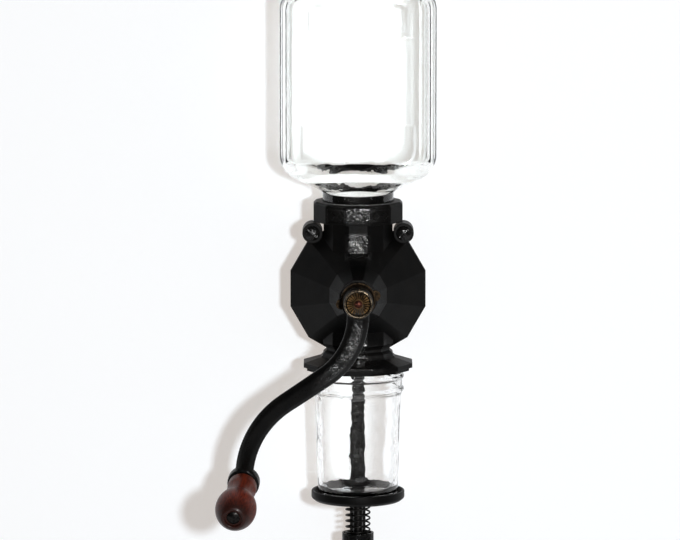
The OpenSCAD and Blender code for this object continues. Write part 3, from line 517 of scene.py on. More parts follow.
# Each metal has its colour, its patina, its lowest and highest roughness, and then in millimetres the size of
# the patina's clouds, the size and depth of its grain, and the rounding of its edges.
# Almost black, with warm brown in soft clouds.
AGED_BRONZE = Metal("cast_bronze_dark_patina", "#281F15", "#0B0907", 0.32, 0.55, 2.2, 0.7, 0.08, 0.4)
WORN_BRONZE = Metal("stamped_bronze_worn", "#4A3822", "#0C0A08", 0.28, 0.5, 5.0, 0.6, 0.04, 0.2)
# A dull red glow in the middle of the hub.
RED_BRASS = Metal("turned_red_brass", "#4E2C24", "#1E1210", 0.4, 0.58, 1.6, 0.4, 0.02, 0.25)
# Bright bare steel on working parts, and near-black oiled steel on the rod, pin and spring.
TURNED_STEEL = Metal("turned_steel", "#8C8E90", "#5C5D5F", 0.25, 0.4)
OILED_STEEL = Metal("oil_blackened_steel", "#2A2928", "#100F0F", 0.3, 0.48, 2.2, 0.5, 0.02, 0.3)
# A dry mid grey where the burrs and feed screw were machined.
GREY_IRON = Metal("machined_grey_iron", "#4A4947", "#2D2C2B", 0.4, 0.6, 2.4, 0.7, 0.06, 0.3)
# A warm yellow brown, as turned.
BRONZE = Metal("turned_bronze", "#9A7A45", "#6E5630", 0.25, 0.4)
# A pale sheet with broad soft clouds.
TIN_PLATE = Metal("pressed_tin_plate", "#A9ABAC", "#83827F", 0.25, 0.45, 9.0, 1.2, 0.03, 0.5)


# ---- Meshes ----


@dataclass
class Shape:
    """Points in millimetres with faces, gathered before they become one piece."""

    points: list[Place] = field(default_factory=list)
    faces: list[tuple[int, ...]] = field(default_factory=list)

    def add(self, other: "Shape") -> "Shape":
        """Adds another shape's points and faces.

        Args:
            other: The shape to add.

        Returns:
            This shape.
        """
        base = len(self.points)
        self.points += other.points
        self.faces += [tuple(base + i for i in f) for f in other.faces]
        return self

    def moved(self, matrix: Matrix) -> "Shape":
        """Returns a copy moved by the matrix, whose lengths are in millimetres."""
        return Shape([tuple(matrix @ Vector(p)) for p in self.points], list(self.faces))


def between(first: Point, last: Point, steps: int) -> list[Point]:
    """Returns evenly spaced points from the first to the last, with both."""
    ends = list(zip(first, last))
    return [tuple(a + (b - a) * k / steps for a, b in ends) for k in range(steps + 1)]


def arc(centre: Point, radius: float, start: float, end: float, steps: int) -> list[Point]:
    """Returns points along an arc, with its angles in degrees."""
    angles = (math.radians(start + (end - start) * i / steps) for i in range(steps + 1))
    return [(centre[0] + radius * math.cos(a), centre[1] + radius * math.sin(a)) for a in angles]


def pointing(angle: float) -> Vector:
    """Returns the flat way that a heading in degrees points."""
    return Vector((math.cos(math.radians(angle)), math.sin(math.radians(angle))))


def softened(outline: Sequence[Point], radius: float, steps: int = 4, loop: bool = False) -> list[Point]:
    """Rounds an outline's corners.

    Args:
        outline: The corners in order.
        radius: How far each rounding reaches along the sides.
        steps: Number of short sides in each rounding.
        loop: Whether the last corner joins the first.

    Returns:
        The rounded outline.
    """
    count, made = len(outline), []
    for i, corner in enumerate(outline):
        if not loop and i in (0, count - 1):
            made.append(corner)
            continue
        here, before, after = Vector(corner), Vector(outline[i - 1]), Vector(outline[(i + 1) % count])
        a, b = before - here, after - here
        reach = min(radius, 0.45 * a.length, 0.45 * b.length)
        start, end = here + a.normalized() * reach, here + b.normalized() * reach
        for k in range(steps + 1):
            t = k / steps
            made.append(tuple(start * (1 - t) ** 2 + here * 2 * t * (1 - t) + end * t**2))
    return made


def skin(rings: Sequence[Sequence[Sequence[float]]], loop: bool = False, capped: bool = False) -> Shape:
    """Joins closed rings of points in order.

    Args:
        rings: Rings with the same number of points each.
        loop: Whether the last ring joins the first.
        capped: Whether the first and last ring are closed by one face each.

    Returns:
        The skin.
    """
    n, m = len(rings[0]), len(rings)
    shape = Shape([tuple(p) for r in rings for p in r])
    for i in range(m if loop else m - 1):
        a, b = i * n, ((i + 1) % m) * n
        shape.faces += [(a + j, a + (j + 1) % n, b + (j + 1) % n, b + j) for j in range(n)]
    if capped:
        shape.faces += [tuple(range(n - 1, -1, -1)), tuple((m - 1) * n + j for j in range(n))]
    return shape


def revolved_rings(outline: Sequence[Point], steps: int) -> list[list[Place]]:
    """Returns one ring of points about the Z axis for each radius and height."""
    turns = [(math.cos(2 * math.pi * j / steps), math.sin(2 * math.pi * j / steps)) for j in range(steps)]
    return [[(r * c, r * s, z) for c, s in turns] for r, z in outline]


def revolved(outline: Sequence[Point], steps: int, loop: bool = False) -> Shape:
    """Returns an outline of radius and height, open or a loop, turned about the Z axis in so many steps."""
    return skin(revolved_rings(outline, steps), loop)


def forward(distance: float = 0.0) -> Matrix:
    """Returns the move that turns local Z to the front, starting that far from the wall."""
    return Matrix.Translation((0, -distance, 0)) @ Matrix.Rotation(math.pi / 2, 4, "X")


def upright(height: float = 0.0) -> Matrix:
    """Returns the move onto the mill's upright axis at that height."""
    return Matrix.Translation((0, -AXIS_OUT, height))


def tidy_mesh(mesh: bpy.types.Mesh, sharp_angle: float) -> None:
    """Merges doubled points, turns faces outwards and smooths all but the sharp edges.

    Args:
        mesh: The mesh, which is changed in place.
        sharp_angle: Edges sharper than this many degrees stay crisp.
    """
    made = bmesh.new()
    made.from_mesh(mesh)
    bmesh.ops.remove_doubles(made, verts=made.verts, dist=WELD)
    bmesh.ops.recalc_face_normals(made, faces=made.faces)
    for face in made.faces:
        face.smooth = True
    for edge in made.edges:
        edge.smooth = edge.calc_face_angle(0.0) < math.radians(sharp_angle)
    made.to_mesh(mesh)
    made.free()


@dataclass
class Workshop:
    """Makes pieces of the mill, hangs them on their bodies and hides the CAD nodes that they stand for."""

    made: list[str] = field(default_factory=list)

    def piece(
        self,
        name: str,
        shape: Shape,
        finish: Finish,
        body: str,
        node: str,
        slot: str,
        sharp_angle: float,
    ) -> bpy.types.Object:
        """Makes one piece that stands for a CAD node.

        Args:
            name: The piece's name.
            shape: Its mesh in millimetres.
            finish: Its surface.
            body: The CAD body that it moves with.
            node: The CAD node that it stands for.
            slot: Not used.
            sharp_angle: Edges sharper than this many degrees stay crisp.

        Returns:
            The new object.
        """
        mesh = bpy.data.meshes.new(name)
        mesh.from_pydata([tuple(c * MM for c in p) for p in shape.points], [], shape.faces)
        tidy_mesh(mesh, sharp_angle)
        made = bpy.data.objects.new(name, mesh)
        bpy.context.scene.collection.objects.link(made)
        mesh.materials.append(finish.material())
        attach(made, body)
        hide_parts(node)
        self.made.append(name)
        LOG.info("made %s for %s: %d faces", name, node, len(mesh.polygons))
        return made

    def dress(self, finish: Finish, *nodes: str) -> None:
        """Gives CAD nodes a finish.

        Args:
            finish: The finish.
            nodes: The names of the nodes.
        """
        for node in nodes:
            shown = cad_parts[node].data.materials
            shown.clear()
            shown.append(finish.material())
            LOG.info("dressed %s in %s", node, finish.name)

    def moulded(self, made: bpy.types.Object, voxel_mm: float, rounds: int) -> None:
        """Melts a piece's shapes into one skin with soft joins, as a casting has.

        Args:
            made: The piece, which gets the new mesh.
            voxel_mm: Size of the skin's faces.
            rounds: Number of smoothing rounds.
        """
        join = made.modifiers.new("join", "REMESH")
        join.mode, join.voxel_size, join.use_smooth_shade = "VOXEL", voxel_mm * MM, True
        soft = made.modifiers.new("soft", "SMOOTH")
        soft.factor, soft.iterations = 0.5, rounds
        bpy.context.view_layer.update()
        mesh = bpy.data.meshes.new_from_object(made.evaluated_get(bpy.context.evaluated_depsgraph_get()))
        old = made.data
        made.modifiers.clear()
        made.data = mesh
        bpy.data.meshes.remove(old)
        mesh.name = made.name
        for face in mesh.polygons:
            face.use_smooth = True
        LOG.info("moulded %s: %d faces", made.name, len(mesh.polygons))


# ---- Sub-assemblies ----


@dataclass
class IronBody:
    """The two castings of the body and the screws that hold them together."""

    shop: Workshop
    ear: Point = (34.363, 43.2)
    head_seat: float = 57.0
    head_r: float = 5.6
    head_t: float = 2.8
    shank_r: float = 2.4
    shank_l: float = 18.0
    slot_w: float = 1.3
    slot_turns: tuple[float, float] = (-38.0, 42.0)
    sides: int = 144
    head_rings: int = 40
    core_r: float = 0.05
    lift: float = 0.05

    def ear_screw(self, slot_turn: float) -> Shape:
        """Returns a round-headed screw along Z.

        Args:
            slot_turn: How many degrees its slot is turned from level.

        Returns:
            The screw.
        """
        dome_r, turn = 1.6 * self.head_r, math.radians(slot_turn)
        rings = []
        for r in np.linspace(self.core_r, self.head_r, self.head_rings):
            dome = self.head_t - dome_r + math.sqrt(dome_r**2 - r**2)
            ring = []
            for a in np.linspace(0, 2 * math.pi, self.sides, endpoint=False):
                in_slot = abs(r * math.sin(a - turn)) < self.slot_w / 2
                top = min(dome, self.head_t / 2) if in_slot else dome
                ring.append((r * math.cos(a), r * math.sin(a), top))
            rings.append(ring)
        below = [(self.head_r, self.lift), (self.shank_r, self.lift), (self.shank_r, -self.shank_l)]
        rings += revolved_rings(below, self.sides)
        return skin(rings, capped=True)

    def build(self) -> None:
        """Makes the ears' screws and dresses the castings and the foot's screw."""
        self.shop.dress(BODY_IRON, "housing_rear", "housing_front")
        self.shop.dress(SCREW_IRON, "foot_screw")
        across, height = self.ear
        pair = Shape()
        for x, turn in zip((-across, across), self.slot_turns):
            at_ear = Matrix.Translation((x, 0, height)) @ forward(self.head_seat)
            pair.add(self.ear_screw(turn).moved(at_ear))
        self.shop.piece("ear_screws_slotted", pair, SCREW_IRON, "mill", "cover_screws", "black_screw", 40)


@dataclass(frozen=True)
class Scoop:
    """A flute pressed into the hopper's outside; its centre is measured round the glass from the front."""

    centre: float
    width: float
    bottom: float
    top: float
    depth: float
    round_top: bool = True
    fullness: float = 0.6

    def cut(self, along: np.ndarray, height: np.ndarray) -> np.ndarray:
        """Returns how deep the flute is at each place.

        Args:
            along: Distances round the glass from the middle of the front.
            height: Heights.

        Returns:
            The depths, which are 0 outside the flute.
        """
        half = self.width / 2
        across = (along - self.centre) / half
        low = np.clip((self.bottom + half - height) / half, 0, None)
        if self.round_top:
            high = np.clip((height - self.top + half) / half, 0, None)
        else:
            high = 1e3 * (height > self.top)
        return self.depth * np.clip(1 - across**2 - low**2 - high**2, 0, None) ** self.fullness


@dataclass
class GlassHopper:
    """The pressed glass hopper and its tin lid."""

    shop: Workshop
    width: float = 118.0
    depth: float = 74.0
    neck_r: float = 26.8
    glass_t: float = 3.2
    bore_r: float = 21.0
    neck_start: float = 55.75
    shoulder: Point = (39.0, 103.1)
    shoulder_r: float = 20.0
    shoulder_slope: float = 27.0
    top_shoulder: Point = (43.0, 213.1)
    top_shoulder_r: float = 16.0
    lip_top: float = 237.1
    squareness: float = 2.2
    sides: int = 420
    outer_rows: int = 108
    inner_rows: int = 24
    # Half-depths and heights of the two steps that swell the floor and throw the dark bands above the collar.
    floor_steps: tuple[Point, ...] = ((28.1, 85.6), (28.1, 91.0), (33.1, 98.5), (33.7, 100.0))
    even_wall_from: float = 101.0

    def ring(self, half: float, height: float, inset: float, deep: float | None = None) -> np.ndarray:
        """Returns one outline: a round neck that grows into a rounded oblong.

        Args:
            half: Its half-width.
            height: Its height.
            inset: How far it lies inside the outer face.
            deep: Its half-depth; none means the one that goes with the half-width.

        Returns:
            Its points, from the middle of the front.
        """
        share = max(0.0, (half + inset - self.neck_r) / (self.width / 2 - self.neck_r))
        if deep is None:
            deep = self.neck_r + share * (self.depth / 2 - self.neck_r) - inset
        power = 2 / (2 + self.squareness * share)
        turn = 2 * np.pi * np.arange(self.sides) / self.sides - np.pi / 2
        c, s = np.cos(turn), np.sin(turn)
        x = half * np.sign(c) * np.abs(c) ** power
        y = -AXIS_OUT + deep * np.sign(s) * np.abs(s) ** power
        return np.stack([x, y, np.full(self.sides, height)], axis=1)

    def stations(self, inset: float, side_rows: int) -> list[Point]:
        """Returns the glass's side view from the neck to the lip.

        Args:
            inset: How far it lies inside the outer face.
            side_rows: Number of rows up the straight side.

        Returns:
            Half-widths and heights.
        """
        # A straight neck ends in a small bend; then come the slanted floor, the round shoulder, the side, the
        # upper shoulder and the lip.
        (sx, sz), (tx, tz) = self.shoulder, self.top_shoulder
        low = arc((sx, sz), self.shoulder_r - inset, self.shoulder_slope - 90, 0, 14)
        high = arc((tx, tz), self.top_shoulder_r - inset, 0, 70, 10)
        neck, side = self.neck_r - inset, sx + self.shoulder_r - inset
        foot = low[0][1] - (low[0][0] - neck) * math.tan(math.radians(self.shoulder_slope))
        made = between((neck, self.neck_start), (neck, foot - 2.5), 4)
        made += arc((neck + 4, foot - 1.6), 4, 180, 180 - 50, 4)[:2]
        made += between((neck + 3, foot + 1.53), low[0], 8)[:-1] + low
        made += between((side, sz), (side, tz), side_rows)[1:-1] + high
        return made + between(high[-1], (high[-1][0], self.lip_top), 3)[1:]

    def inside(self) -> list[np.ndarray]:
        """Returns the outlines inside, from the neck up.

        Returns:
            A thick round neck, the floor's two steps, and then an even wall.
        """
        wall = self.stations(self.glass_t, self.inner_rows)
        heights, halves = [z for _, z in wall], [a for a, _ in wall]
        made = [self.ring(self.bore_r, z, self.glass_t, self.bore_r) for z in (self.neck_start, 63.0, 70.0)]
        corners = [(self.bore_r, 76.0), (self.bore_r, 78.0), *self.floor_steps]
        for deep, height in softened(corners, 0.7, 4):
            half = max(deep, float(np.interp(height, heights, halves)))
            made.append(self.ring(half, height, self.glass_t, deep))
        return made + [self.ring(a, z, self.glass_t) for a, z in wall if z > self.even_wall_from]

    def flutes(self) -> list[Scoop]:
        """Returns the flutes of the front, corners, sides and back.

        Returns:
            Four short ones at the front's top, three at its foot, and long ones round the rest.
        """
        made = [Scoop(centre, 18.6, 192, 219, 1.5) for centre in (-28.5, -9.5, 9.5, 28.5)]
        for centre, width in ((0, 34), (-30, 26), (30, 26)):
            made.append(Scoop(centre, width, 96, 128, 1.2, round_top=False))
        long_ones = ((51.5, 10.5), (64, 14), (80, 16.5), (97, 16.5), (118, 21), (141, 21), (160, 21))
        for side in (-1, 1):
            made += [Scoop(side * centre, width, 97, 222, 1.3) for centre, width in long_ones]
        return made

    def glass(self) -> Shape:
        """Returns the hopper's glass.

        Returns:
            Its fluted outside, joined over the lip to its inside.
        """
        spots = self.stations(0.0, self.outer_rows)
        outer = np.stack([self.ring(a, z, 0.0) for a, z in spots])
        full = self.ring(self.width / 2, 0.0, 0.0)
        steps = np.linalg.norm(np.diff(full, axis=0, append=full[:1])[:, :2], axis=1)
        along = np.concatenate([[0.0], np.cumsum(steps)[:-1]])
        along[along > steps.sum() / 2] -= steps.sum()
        dip = sum(s.cut(along[None, :], outer[:, :, 2]) for s in self.flutes())
        tangent = np.roll(outer, -1, axis=1) - np.roll(outer, 1, axis=1)
        normal = np.stack([tangent[:, :, 1], -tangent[:, :, 0], np.zeros(tangent.shape[:2])], axis=2)
        normal /= np.linalg.norm(normal, axis=2, keepdims=True)
        outer = outer - normal * dip[:, :, None]
        return skin([*outer.tolist(), *[r.tolist() for r in self.inside()[::-1]]], loop=True)

    def build(self) -> None:
        """Makes the glass and dresses the lid."""
        name, node = "hopper_glass_pressed", "hopper_glass"
        self.shop.piece(name, self.glass(), CLEAR_GLASS, "mill", node, "hopper_glass", 50)
        self.shop.dress(TIN_PLATE, "hopper_lid")
        self.shop.dress(SCREW_IRON, "lid_knob")


@dataclass
class GrindingSet:
    """The shaft, burrs and feed screw inside the body."""

    shop: Workshop

    def build(self) -> None:
        """Dresses the inner parts."""
        self.shop.dress(TURNED_STEEL, "shaft", "end_spring", "burr_screws", "burr_pin", "bracket_screws")
        self.shop.dress(GREY_IRON, "feed_auger", "fixed_burr", "rotating_burr")
        self.shop.dress(BRONZE, "thrust_washer")
        self.shop.dress(AGED_BRONZE, "regulator")


@dataclass
class Crank:
    """The S-shaped crank with its hub, screw and eye."""

    shop: Workshop
    arm_d: float = 126.0
    set_back: float = 28.0
    start_angle: float = 1.0
    start_l: float = 10.0
    upper_r: float = 57.0
    upper_bend: float = 54.0
    middle_l: float = 36.0
    lower_r: float = 74.0
    lower_bend: float = 51.0
    end_l: float = 8.0
    eye_lead: float = 4.0
    width: float = 17.0
    end_width: float = 13.6
    thickness: float = 9.0
    thinning: float = 1.2
    knob_turn: float = 10.0
    hub_r: float = 11.0
    hub_back: float = 115.2
    hub_front: float = 132.3
    recess_r: float = 8.8
    recess_floor: float = 128.9
    eye_r: float = 12.1
    eye_t: float = 8.8
    sides: int = 72

    def path(self) -> list[tuple[Vector, float]]:
        """Returns the arm's middle line, seen from the front.

        Returns:
            Points with the heading in degrees at each.
        """
        made: list[tuple[Vector, float]] = []
        here, heading = Vector((0.0, 0.0)), -(90 + self.start_angle)
        for length, turn, steps in (
            (self.start_l, 0.0, 5),
            (self.upper_r * math.radians(self.upper_bend), -self.upper_bend, 28),
            (self.middle_l, 0.0, 14),
            (self.lower_r * math.radians(self.lower_bend), self.lower_bend, 30),
            (self.end_l - self.eye_lead, 0.0, 5),
        ):
            for _ in range(steps):
                made.append((here.copy(), heading))
                here += pointing(heading + turn / steps / 2) * length / steps
                heading += turn / steps
        made.append((here.copy(), heading))
        return made

    def eye_point(self) -> Vector:
        """Returns the middle of the eye, seen from the front."""
        last, heading = self.path()[-1]
        return last + pointing(heading) * self.eye_lead

    def at_eye(self) -> Matrix:
        """Returns the move onto the knob's axis, from the middle of the eye.

        Returns:
            The move, with the knob square to the dished arm and turned outwards.
        """
        eye = self.eye_point()
        lean = math.atan(2 * self.set_back / eye.length)
        return (
            Matrix.Rotation(-math.atan2(eye.y, eye.x), 4, "Y")
            @ Matrix.Translation((eye.length, self.set_back - self.arm_d, 0))
            @ Matrix.Rotation(-math.radians(self.knob_turn), 4, "Y")
            @ Matrix.Rotation(lean, 4, "Z")
            @ Matrix.Rotation(math.pi / 2, 4, "X")
        )

    def section(self, width: float, thickness: float) -> list[Point]:
        """Returns the arm's outline: a flat front face between two bevels, and a narrower rounded back.

        Args:
            width: Its width.
            thickness: Its thickness.

        Returns:
            The outline's points.
        """
        right = [(0.5, -0.12), (0.5, 0.1), (0.26, 0.5)]
        left = [(-x, y) for x, y in reversed(right)]
        corners = [*right, *left, (-0.36, -0.5), (0.36, -0.5)]
        return softened([(x * width, y * thickness) for x, y in corners], 1.3, 3, loop=True)

    def arm(self) -> Shape:
        """Returns the arm as a swept bar with bevelled edges.

        Returns:
            The bar, which follows the path over a dished surface.
        """
        path, reach, rings = self.path(), self.eye_point().length, []
        bow = 2 * self.set_back / reach**2
        for i, (spot, heading) in enumerate(path):
            share = i / (len(path) - 1)
            way = pointing(heading)
            middle = Vector((spot.x, self.set_back * (spot.length / reach) ** 2 - self.arm_d, spot.y))
            along = Vector((way.x, bow * spot.dot(way), way.y)).normalized()
            front = Vector((bow * spot.x, -1, bow * spot.y)).normalized()
            side = along.cross(front)
            width = self.width + (self.end_width - self.width) * share
            outline = self.section(width, self.thickness - self.thinning * share)
            rings.append([tuple(middle + side * out + front * up) for out, up in outline])
        return skin(rings, capped=True)

    def hub(self) -> Shape:
        """Returns the hub with the recess for its screw.

        Returns:
            The hub, in its place on the shaft.
        """
        r, back, front = self.hub_r, self.hub_back, self.hub_front
        bore, floor = self.recess_r, self.recess_floor
        outline = [(0, back), (r - 0.8, back), (r, back + 0.8), (r, front - 0.9), (r - 0.6, front)]
        outline += [(bore + 0.6, front), (bore, front - 0.9), (bore, floor), (0, floor)]
        return revolved(softened(outline, 0.8), self.sides).moved(forward())

    def eye(self) -> Shape:
        """Returns the round eye that carries the knob.

        Returns:
            The eye, in its place at the arm's end.
        """
        half = self.eye_t / 2
        outline = softened([(0, -half), (self.eye_r, -half), (self.eye_r, half), (0, half)], 1.6)
        return revolved(outline, self.sides).moved(self.at_eye())

    def build(self) -> None:
        """Makes the arm and dresses what is on it."""
        shape = self.arm().add(self.hub()).add(self.eye())
        made = self.shop.piece("crank_arm_cast", shape, CRANK_IRON, "crank", "crank_arm", "crank_iron", 32)
        self.shop.moulded(made, 0.6, 6)
        self.shop.dress(WORN_BRONZE, "star_washer")
        self.shop.dress(RED_BRASS, "crank_screw")
        self.shop.dress(TURNED_STEEL, "knob_washer")
        self.shop.dress(OILED_STEEL, "knob_pin")


@dataclass
class Knob:
    """The turned wooden knob, drawn along its own axis from the middle of the crank's eye."""

    shop: Workshop
    crank: Crank
    base: float = 6.0
    length: float = 53.5
    ball_r: float = 15.4
    neck_r: float = 10.9
    neck_share: float = 0.39
    ball_share: float = 0.7
    waist_sunk: float = 1.3
    waist_r: float = 30.0
    tip_r: float = 8.4
    tip_recess: float = 2.4
    recess_r: float = 6.4
    bore_r: float = 3.08
    sides: int = 128

    def outline(self) -> list[Point]:
        """Returns the knob's outline as a loop.

        Returns:
            A waisted neck, a crisp step, and an egg-shaped ball with a blunt end and its bore.
        """
        tip, ball_at = self.base + self.length, self.base + self.length * self.ball_share
        neck_l = self.length * self.neck_share
        made = [(self.bore_r, self.base), (self.neck_r - 0.5, self.base), (self.neck_r, self.base + 0.5)]
        for k in range(13):
            z = 1.2 + (neck_l - 1.2) * k / 12
            bulge = math.sqrt(max(0.0, self.waist_r**2 - (z - 0.75 * neck_l) ** 2))
            made.append((self.neck_r - max(0.0, self.waist_sunk - self.waist_r + bulge), self.base + z))
        made[-1] = (made[-1][0] - 0.15, made[-1][1] - 0.3)
        end_r, back_l, front_l = self.neck_r - 0.9, ball_at - self.base - neck_l, tip - ball_at
        back_r = (back_l**2 + (self.ball_r - end_r) ** 2) / (2 * (self.ball_r - end_r))
        front_r = (front_l**2 + (self.ball_r - self.tip_r) ** 2) / (2 * (self.ball_r - self.tip_r))
        from_neck = math.degrees(math.asin(back_l / back_r))
        to_tip = math.degrees(math.asin(front_l / front_r))
        made += arc((self.ball_r - back_r, ball_at), back_r, -from_neck, 0.0, 16)
        made += arc((self.ball_r - front_r, ball_at), front_r, 0.0, to_tip, 20)[1:-1]
        rim, sunk_at = self.recess_r, tip - self.tip_recess
        made += [(self.tip_r, tip - 0.35), (self.tip_r - 0.5, tip), (rim + 0.5, tip - 0.05), (rim, tip - 0.5)]
        made += [(rim, sunk_at), (self.bore_r, sunk_at)]
        return softened(made, 0.25, 2, loop=True)

    def build(self) -> None:
        """Makes the knob."""
        stands = self.crank.at_eye()
        wood = TurnedWood("turned_mahogany_varnished", stands=stands)
        shape = revolved(self.outline(), self.sides, loop=True).moved(stands)
        self.shop.piece("knob_turned", shape, wood, "knob", "knob", "knob_wood", 30)


@dataclass
class CatchJar:
    """The pressed glass jar under the spout."""

    shop: Workshop
    floor: float = -159.55
    height: float = 100.0
    bead_r: float = 35.0
    throat_r: float = 33.4
    top_r: float = 32.4
    base_r: float = 30.2
    glass_t: float = 2.8
    sides: int = 192

    def outline(self) -> list[Point]:
        """Returns the jar's outline, from the middle of its base over the mouth to the middle of its floor.

        Returns:
            Radii and heights.
        """
        h, bead, throat, base, wall = self.height, self.bead_r, self.throat_r, self.base_r, self.glass_t
        foot = [(0, 0.9), (20, 0.9), (22.5, 0.0), (base - 1, 0.0), (base, 3.0)]
        shoulder = [(self.top_r, h - 21), (bead - 0.5, h - 17.6), (bead, h - 16.4), (bead - 0.6, h - 15.2)]
        neck = [(throat, h - 14.4), (throat, h - 8.8), (bead - 0.4, h - 7.8), (bead, h - 6.8)]
        mouth = [(bead - 0.4, h - 5.8), (throat, h - 4.8), (bead - 2, h - 1.2), (bead - 3, h)]
        inside = [(throat - wall, h), (throat - wall, h - 17), (self.top_r - wall, h - 22)]
        inside += [(base - wall, 9.0), (base - wall - 4, 3.8), (0, 3.6)]
        return softened([*foot, *shoulder, *neck, *mouth, *inside], 1.5, 5)

    def build(self) -> None:
        """Makes the jar."""
        shape = revolved(self.outline(), self.sides).moved(upright(self.floor))
        self.shop.piece("catch_jar_pressed", shape, JAR_GLASS, "tray", "catch_jar", "jar_glass", 60)


@dataclass
class CupHolder:
    """The stem behind the jar, the sprung tray and its rod."""

    shop: Workshop
    spring_seat: float = -190.0
    spring_top: float = -162.15
    travel: float = 16.0
    coil_r: float = 9.0
    wire_r: float = 0.7
    turns: int = 6
    coil_steps: int = 288
    wire_sides: int = 12
    tray_base: float = -162.05
    tray_r: float = 35.3
    tray_floor: float = 2.5
    rim_h: float = 8.0
    tray_hub_r: float = 7.8
    tray_hub_l: float = 4.0
    tray_sides: int = 160

    def spring(self) -> Shape:
        """Returns the tray's spring as round wire.

        Returns:
            The spring, in its place round the rod.
        """
        radius, wire, rings = self.coil_r, self.wire_r, []
        rise = self.spring_top - self.spring_seat - 2 * wire
        climb = rise / (self.turns * 2 * math.pi * radius)
        for i in range(self.coil_steps + 1):
            a = 2 * math.pi * self.turns * i / self.coil_steps
            z = self.spring_seat + wire + rise * i / self.coil_steps
            c, s, ring = math.cos(a), math.sin(a), []
            for k in range(self.wire_sides):
                b = 2 * math.pi * k / self.wire_sides
                out, up = radius + wire * math.cos(b), wire * math.sin(b)
                ring.append((out * c + up * climb * s, out * s - up * climb * c, z + up))
            rings.append(ring)
        return skin(rings, capped=True).moved(upright())

    def tray(self) -> Shape:
        """Returns the tray with its bevelled rim and hub.

        Returns:
            The tray, in its place under the jar.
        """
        r, rim, floor = self.tray_r, self.rim_h, self.tray_floor
        hub, below = self.tray_hub_r, -self.tray_hub_l
        outline = [(0, floor), (r - 4.3, floor), (r - 1.6, rim), (r - 0.6, rim), (r, rim - 0.6), (r, 2.4)]
        outline += [(r - 3, 0), (hub, 0), (hub - 0.4, below), (0, below)]
        return revolved(softened(outline, 0.9, 4), self.tray_sides).moved(upright(self.tray_base))

    def build(self) -> None:
        """Makes the spring and tray and dresses the rest."""
        coil = self.spring()
        wire = self.shop.piece("tray_spring_wire", coil, OILED_STEEL, "mill", "tray_spring", "dark_steel", 60)
        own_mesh(wire)
        self.shop.piece("tray_cast", self.tray(), BODY_IRON, "tray", "tray", "black_iron", 40)
        self.shop.dress(LUMPY_IRON, "cup_bracket")
        self.shop.dress(OILED_STEEL, "tray_rod", "rod_stop")
        self.shop.dress(TURNED_STEEL, "rod_pin")


# ---- Studio ----


class Lamp(Enum):
    """A soft lamp's azimuth and elevation in degrees from the front, its side in metres and its watts."""

    KEY = (9.0, 7.0, 0.14, 62.0)
    RIGHT = (58.0, 18.0, 0.9, 1.5)
    TOP = (10.0, 68.0, 0.8, 1.5)


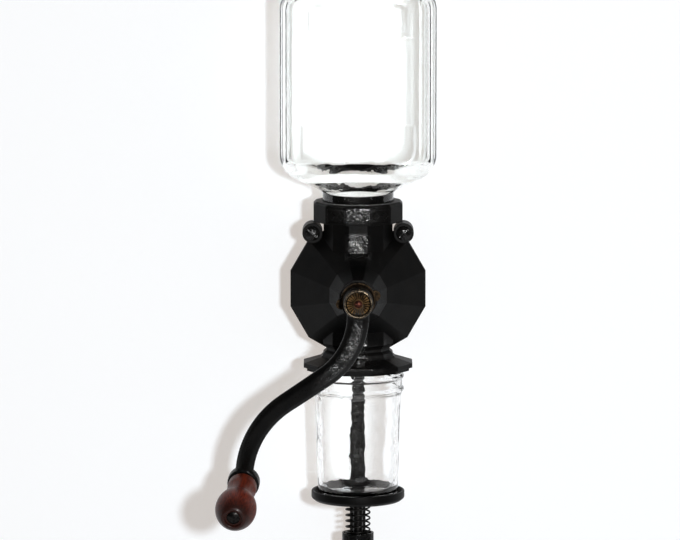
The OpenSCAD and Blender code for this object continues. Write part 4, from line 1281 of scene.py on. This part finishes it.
@dataclass
class Studio:
    """The wall that the mill hangs on, the floor, the lamps and the camera.

    Lengths are in metres, apart from the lens in millimetres, and the camera's pitch is in degrees.
    """

    camera_out: float = 4.548
    camera_side: float = -0.0136
    camera_height: float = 0.651
    pitch: float = 8.057
    lens: float = 318.7
    half_width: float = 4.0
    wall_top: float = 3.0
    wall_y: float = 0.0004
    floor_z: float = -0.75
    floor_front: float = -1.6
    cove_r: float = 0.35
    lamp_distance: float = 2.6
    room_light: float = 0.06

    def surface(self) -> bpy.types.Material:
        """Makes matt white paint that keeps shadows and shows as white where light falls on it.

        Returns:
            The material.
        """
        made = bpy.data.materials.new("matt_wall_paint")
        made.use_nodes = True
        tree = made.node_tree
        tree.nodes.clear()
        diffuse = add_node(tree, "BsdfDiffuse", {"Color": "#B4BEC6", "Roughness": 0.5})
        ray = add_node(tree, "LightPath").outputs
        shown: Source = ray["Is Camera Ray"]
        for kind in ("Is Glossy Ray", "Is Transmission Ray"):
            shown = add_node(tree, "Math", {"operation": "ADD", "use_clamp": True}, {0: shown, 1: ray[kind]})
        glow = add_node(tree, "Emission", {"Color": "#C5BDB6"}, {"Strength": shown})
        both = add_node(tree, "AddShader", links={0: diffuse, 1: glow})
        # From behind, the wall lets the mill's back be seen.
        behind = add_node(tree, "NewGeometry").outputs["Backfacing"]
        wall = add_node(tree, "MixShader", links={0: behind, 1: both, 2: add_node(tree, "BsdfTransparent")})
        add_node(tree, "OutputMaterial", links={"Surface": wall})
        return made

    def backdrop(self) -> None:
        """Makes the wall and the floor below it, joined by a cove."""
        middle = (self.wall_y - self.cove_r, self.floor_z + self.cove_r)
        section = [(self.wall_y, self.wall_top), *arc(middle, self.cove_r, 0, -90, 16)]
        section.append((self.floor_front, self.floor_z))
        points = [(x, y, z) for y, z in section for x in (-self.half_width, self.half_width)]
        faces = [(2 * i, 2 * i + 2, 2 * i + 3, 2 * i + 1) for i in range(len(section) - 1)]
        mesh = bpy.data.meshes.new("backdrop")
        mesh.from_pydata(points, [], faces)
        for face in mesh.polygons:
            face.use_smooth = True
        mesh.materials.append(self.surface())
        made = bpy.data.objects.new("backdrop", mesh)
        bpy.context.scene.collection.objects.link(made)

    def light(self, lamp: Lamp) -> None:
        """Adds a soft lamp that faces the mill's body.

        Args:
            lamp: Which lamp.
        """
        azimuth, elevation, size, power = lamp.value
        azimuth, elevation = math.radians(azimuth), math.radians(elevation)
        level = math.cos(elevation)
        way = Vector((math.sin(azimuth) * level, -math.cos(azimuth) * level, math.sin(elevation)))
        data = bpy.data.lights.new("lamp_" + lamp.name.lower(), "AREA")
        data.shape, data.size, data.energy = "SQUARE", size, power
        made = bpy.data.objects.new(data.name, data)
        made.location = Vector((0, -AXIS_OUT * MM, 0)) + way * self.lamp_distance
        made.rotation_mode = "QUATERNION"
        made.rotation_quaternion = (-way).to_track_quat("-Z", "Y")
        bpy.context.scene.collection.objects.link(made)

    def world(self) -> None:
        """Gives the room a soft pale light, and white where the camera looks past the wall."""
        world = bpy.data.worlds.new("room")
        bpy.context.scene.world = world
        world.use_nodes = True
        tree = world.node_tree
        tree.nodes.clear()
        seen = add_node(tree, "LightPath").outputs["Is Camera Ray"]
        strength = add_node(tree, "MapRange", {"To Min": self.room_light}, {"Value": seen})
        white = add_node(tree, "Background", {"Color": "#FFFFFF"}, {"Strength": strength})
        add_node(tree, "OutputWorld", links={"Surface": white})

    def camera(self) -> None:
        """Stands the camera in front of the mill, above the shaft and level with its middle line."""
        data = bpy.data.cameras.new("camera")
        data.sensor_width, data.lens = 36.0, self.lens
        data.clip_start, data.clip_end = 0.1, 50.0
        made = bpy.data.objects.new("camera", data)
        made.location = (self.camera_side, -self.camera_out, self.camera_height)
        made.rotation_euler = (math.radians(90 - self.pitch), 0, 0)
        bpy.context.scene.collection.objects.link(made)
        bpy.context.scene.camera = made

    def build(self) -> None:
        """Makes the studio."""
        bpy.context.scene.view_settings.view_transform = "Standard"
        self.backdrop()
        for lamp in Lamp:
            self.light(lamp)
        self.world()
        self.camera()


def main() -> None:
    """Builds the mill's pieces in order, and then the studio."""
    logging.basicConfig(level=logging.INFO, format="%(name)s: %(message)s")
    shop = Workshop()
    crank = Crank(shop)
    body, hopper, grinding = IronBody(shop), GlassHopper(shop), GrindingSet(shop)
    for part in (body, hopper, grinding, crank, Knob(shop, crank), CatchJar(shop), CupHolder(shop)):
        part.build()
    Studio().build()
    LOG.info("%d pieces were made", len(shop.made))


if __name__ == "__main__":
    main()
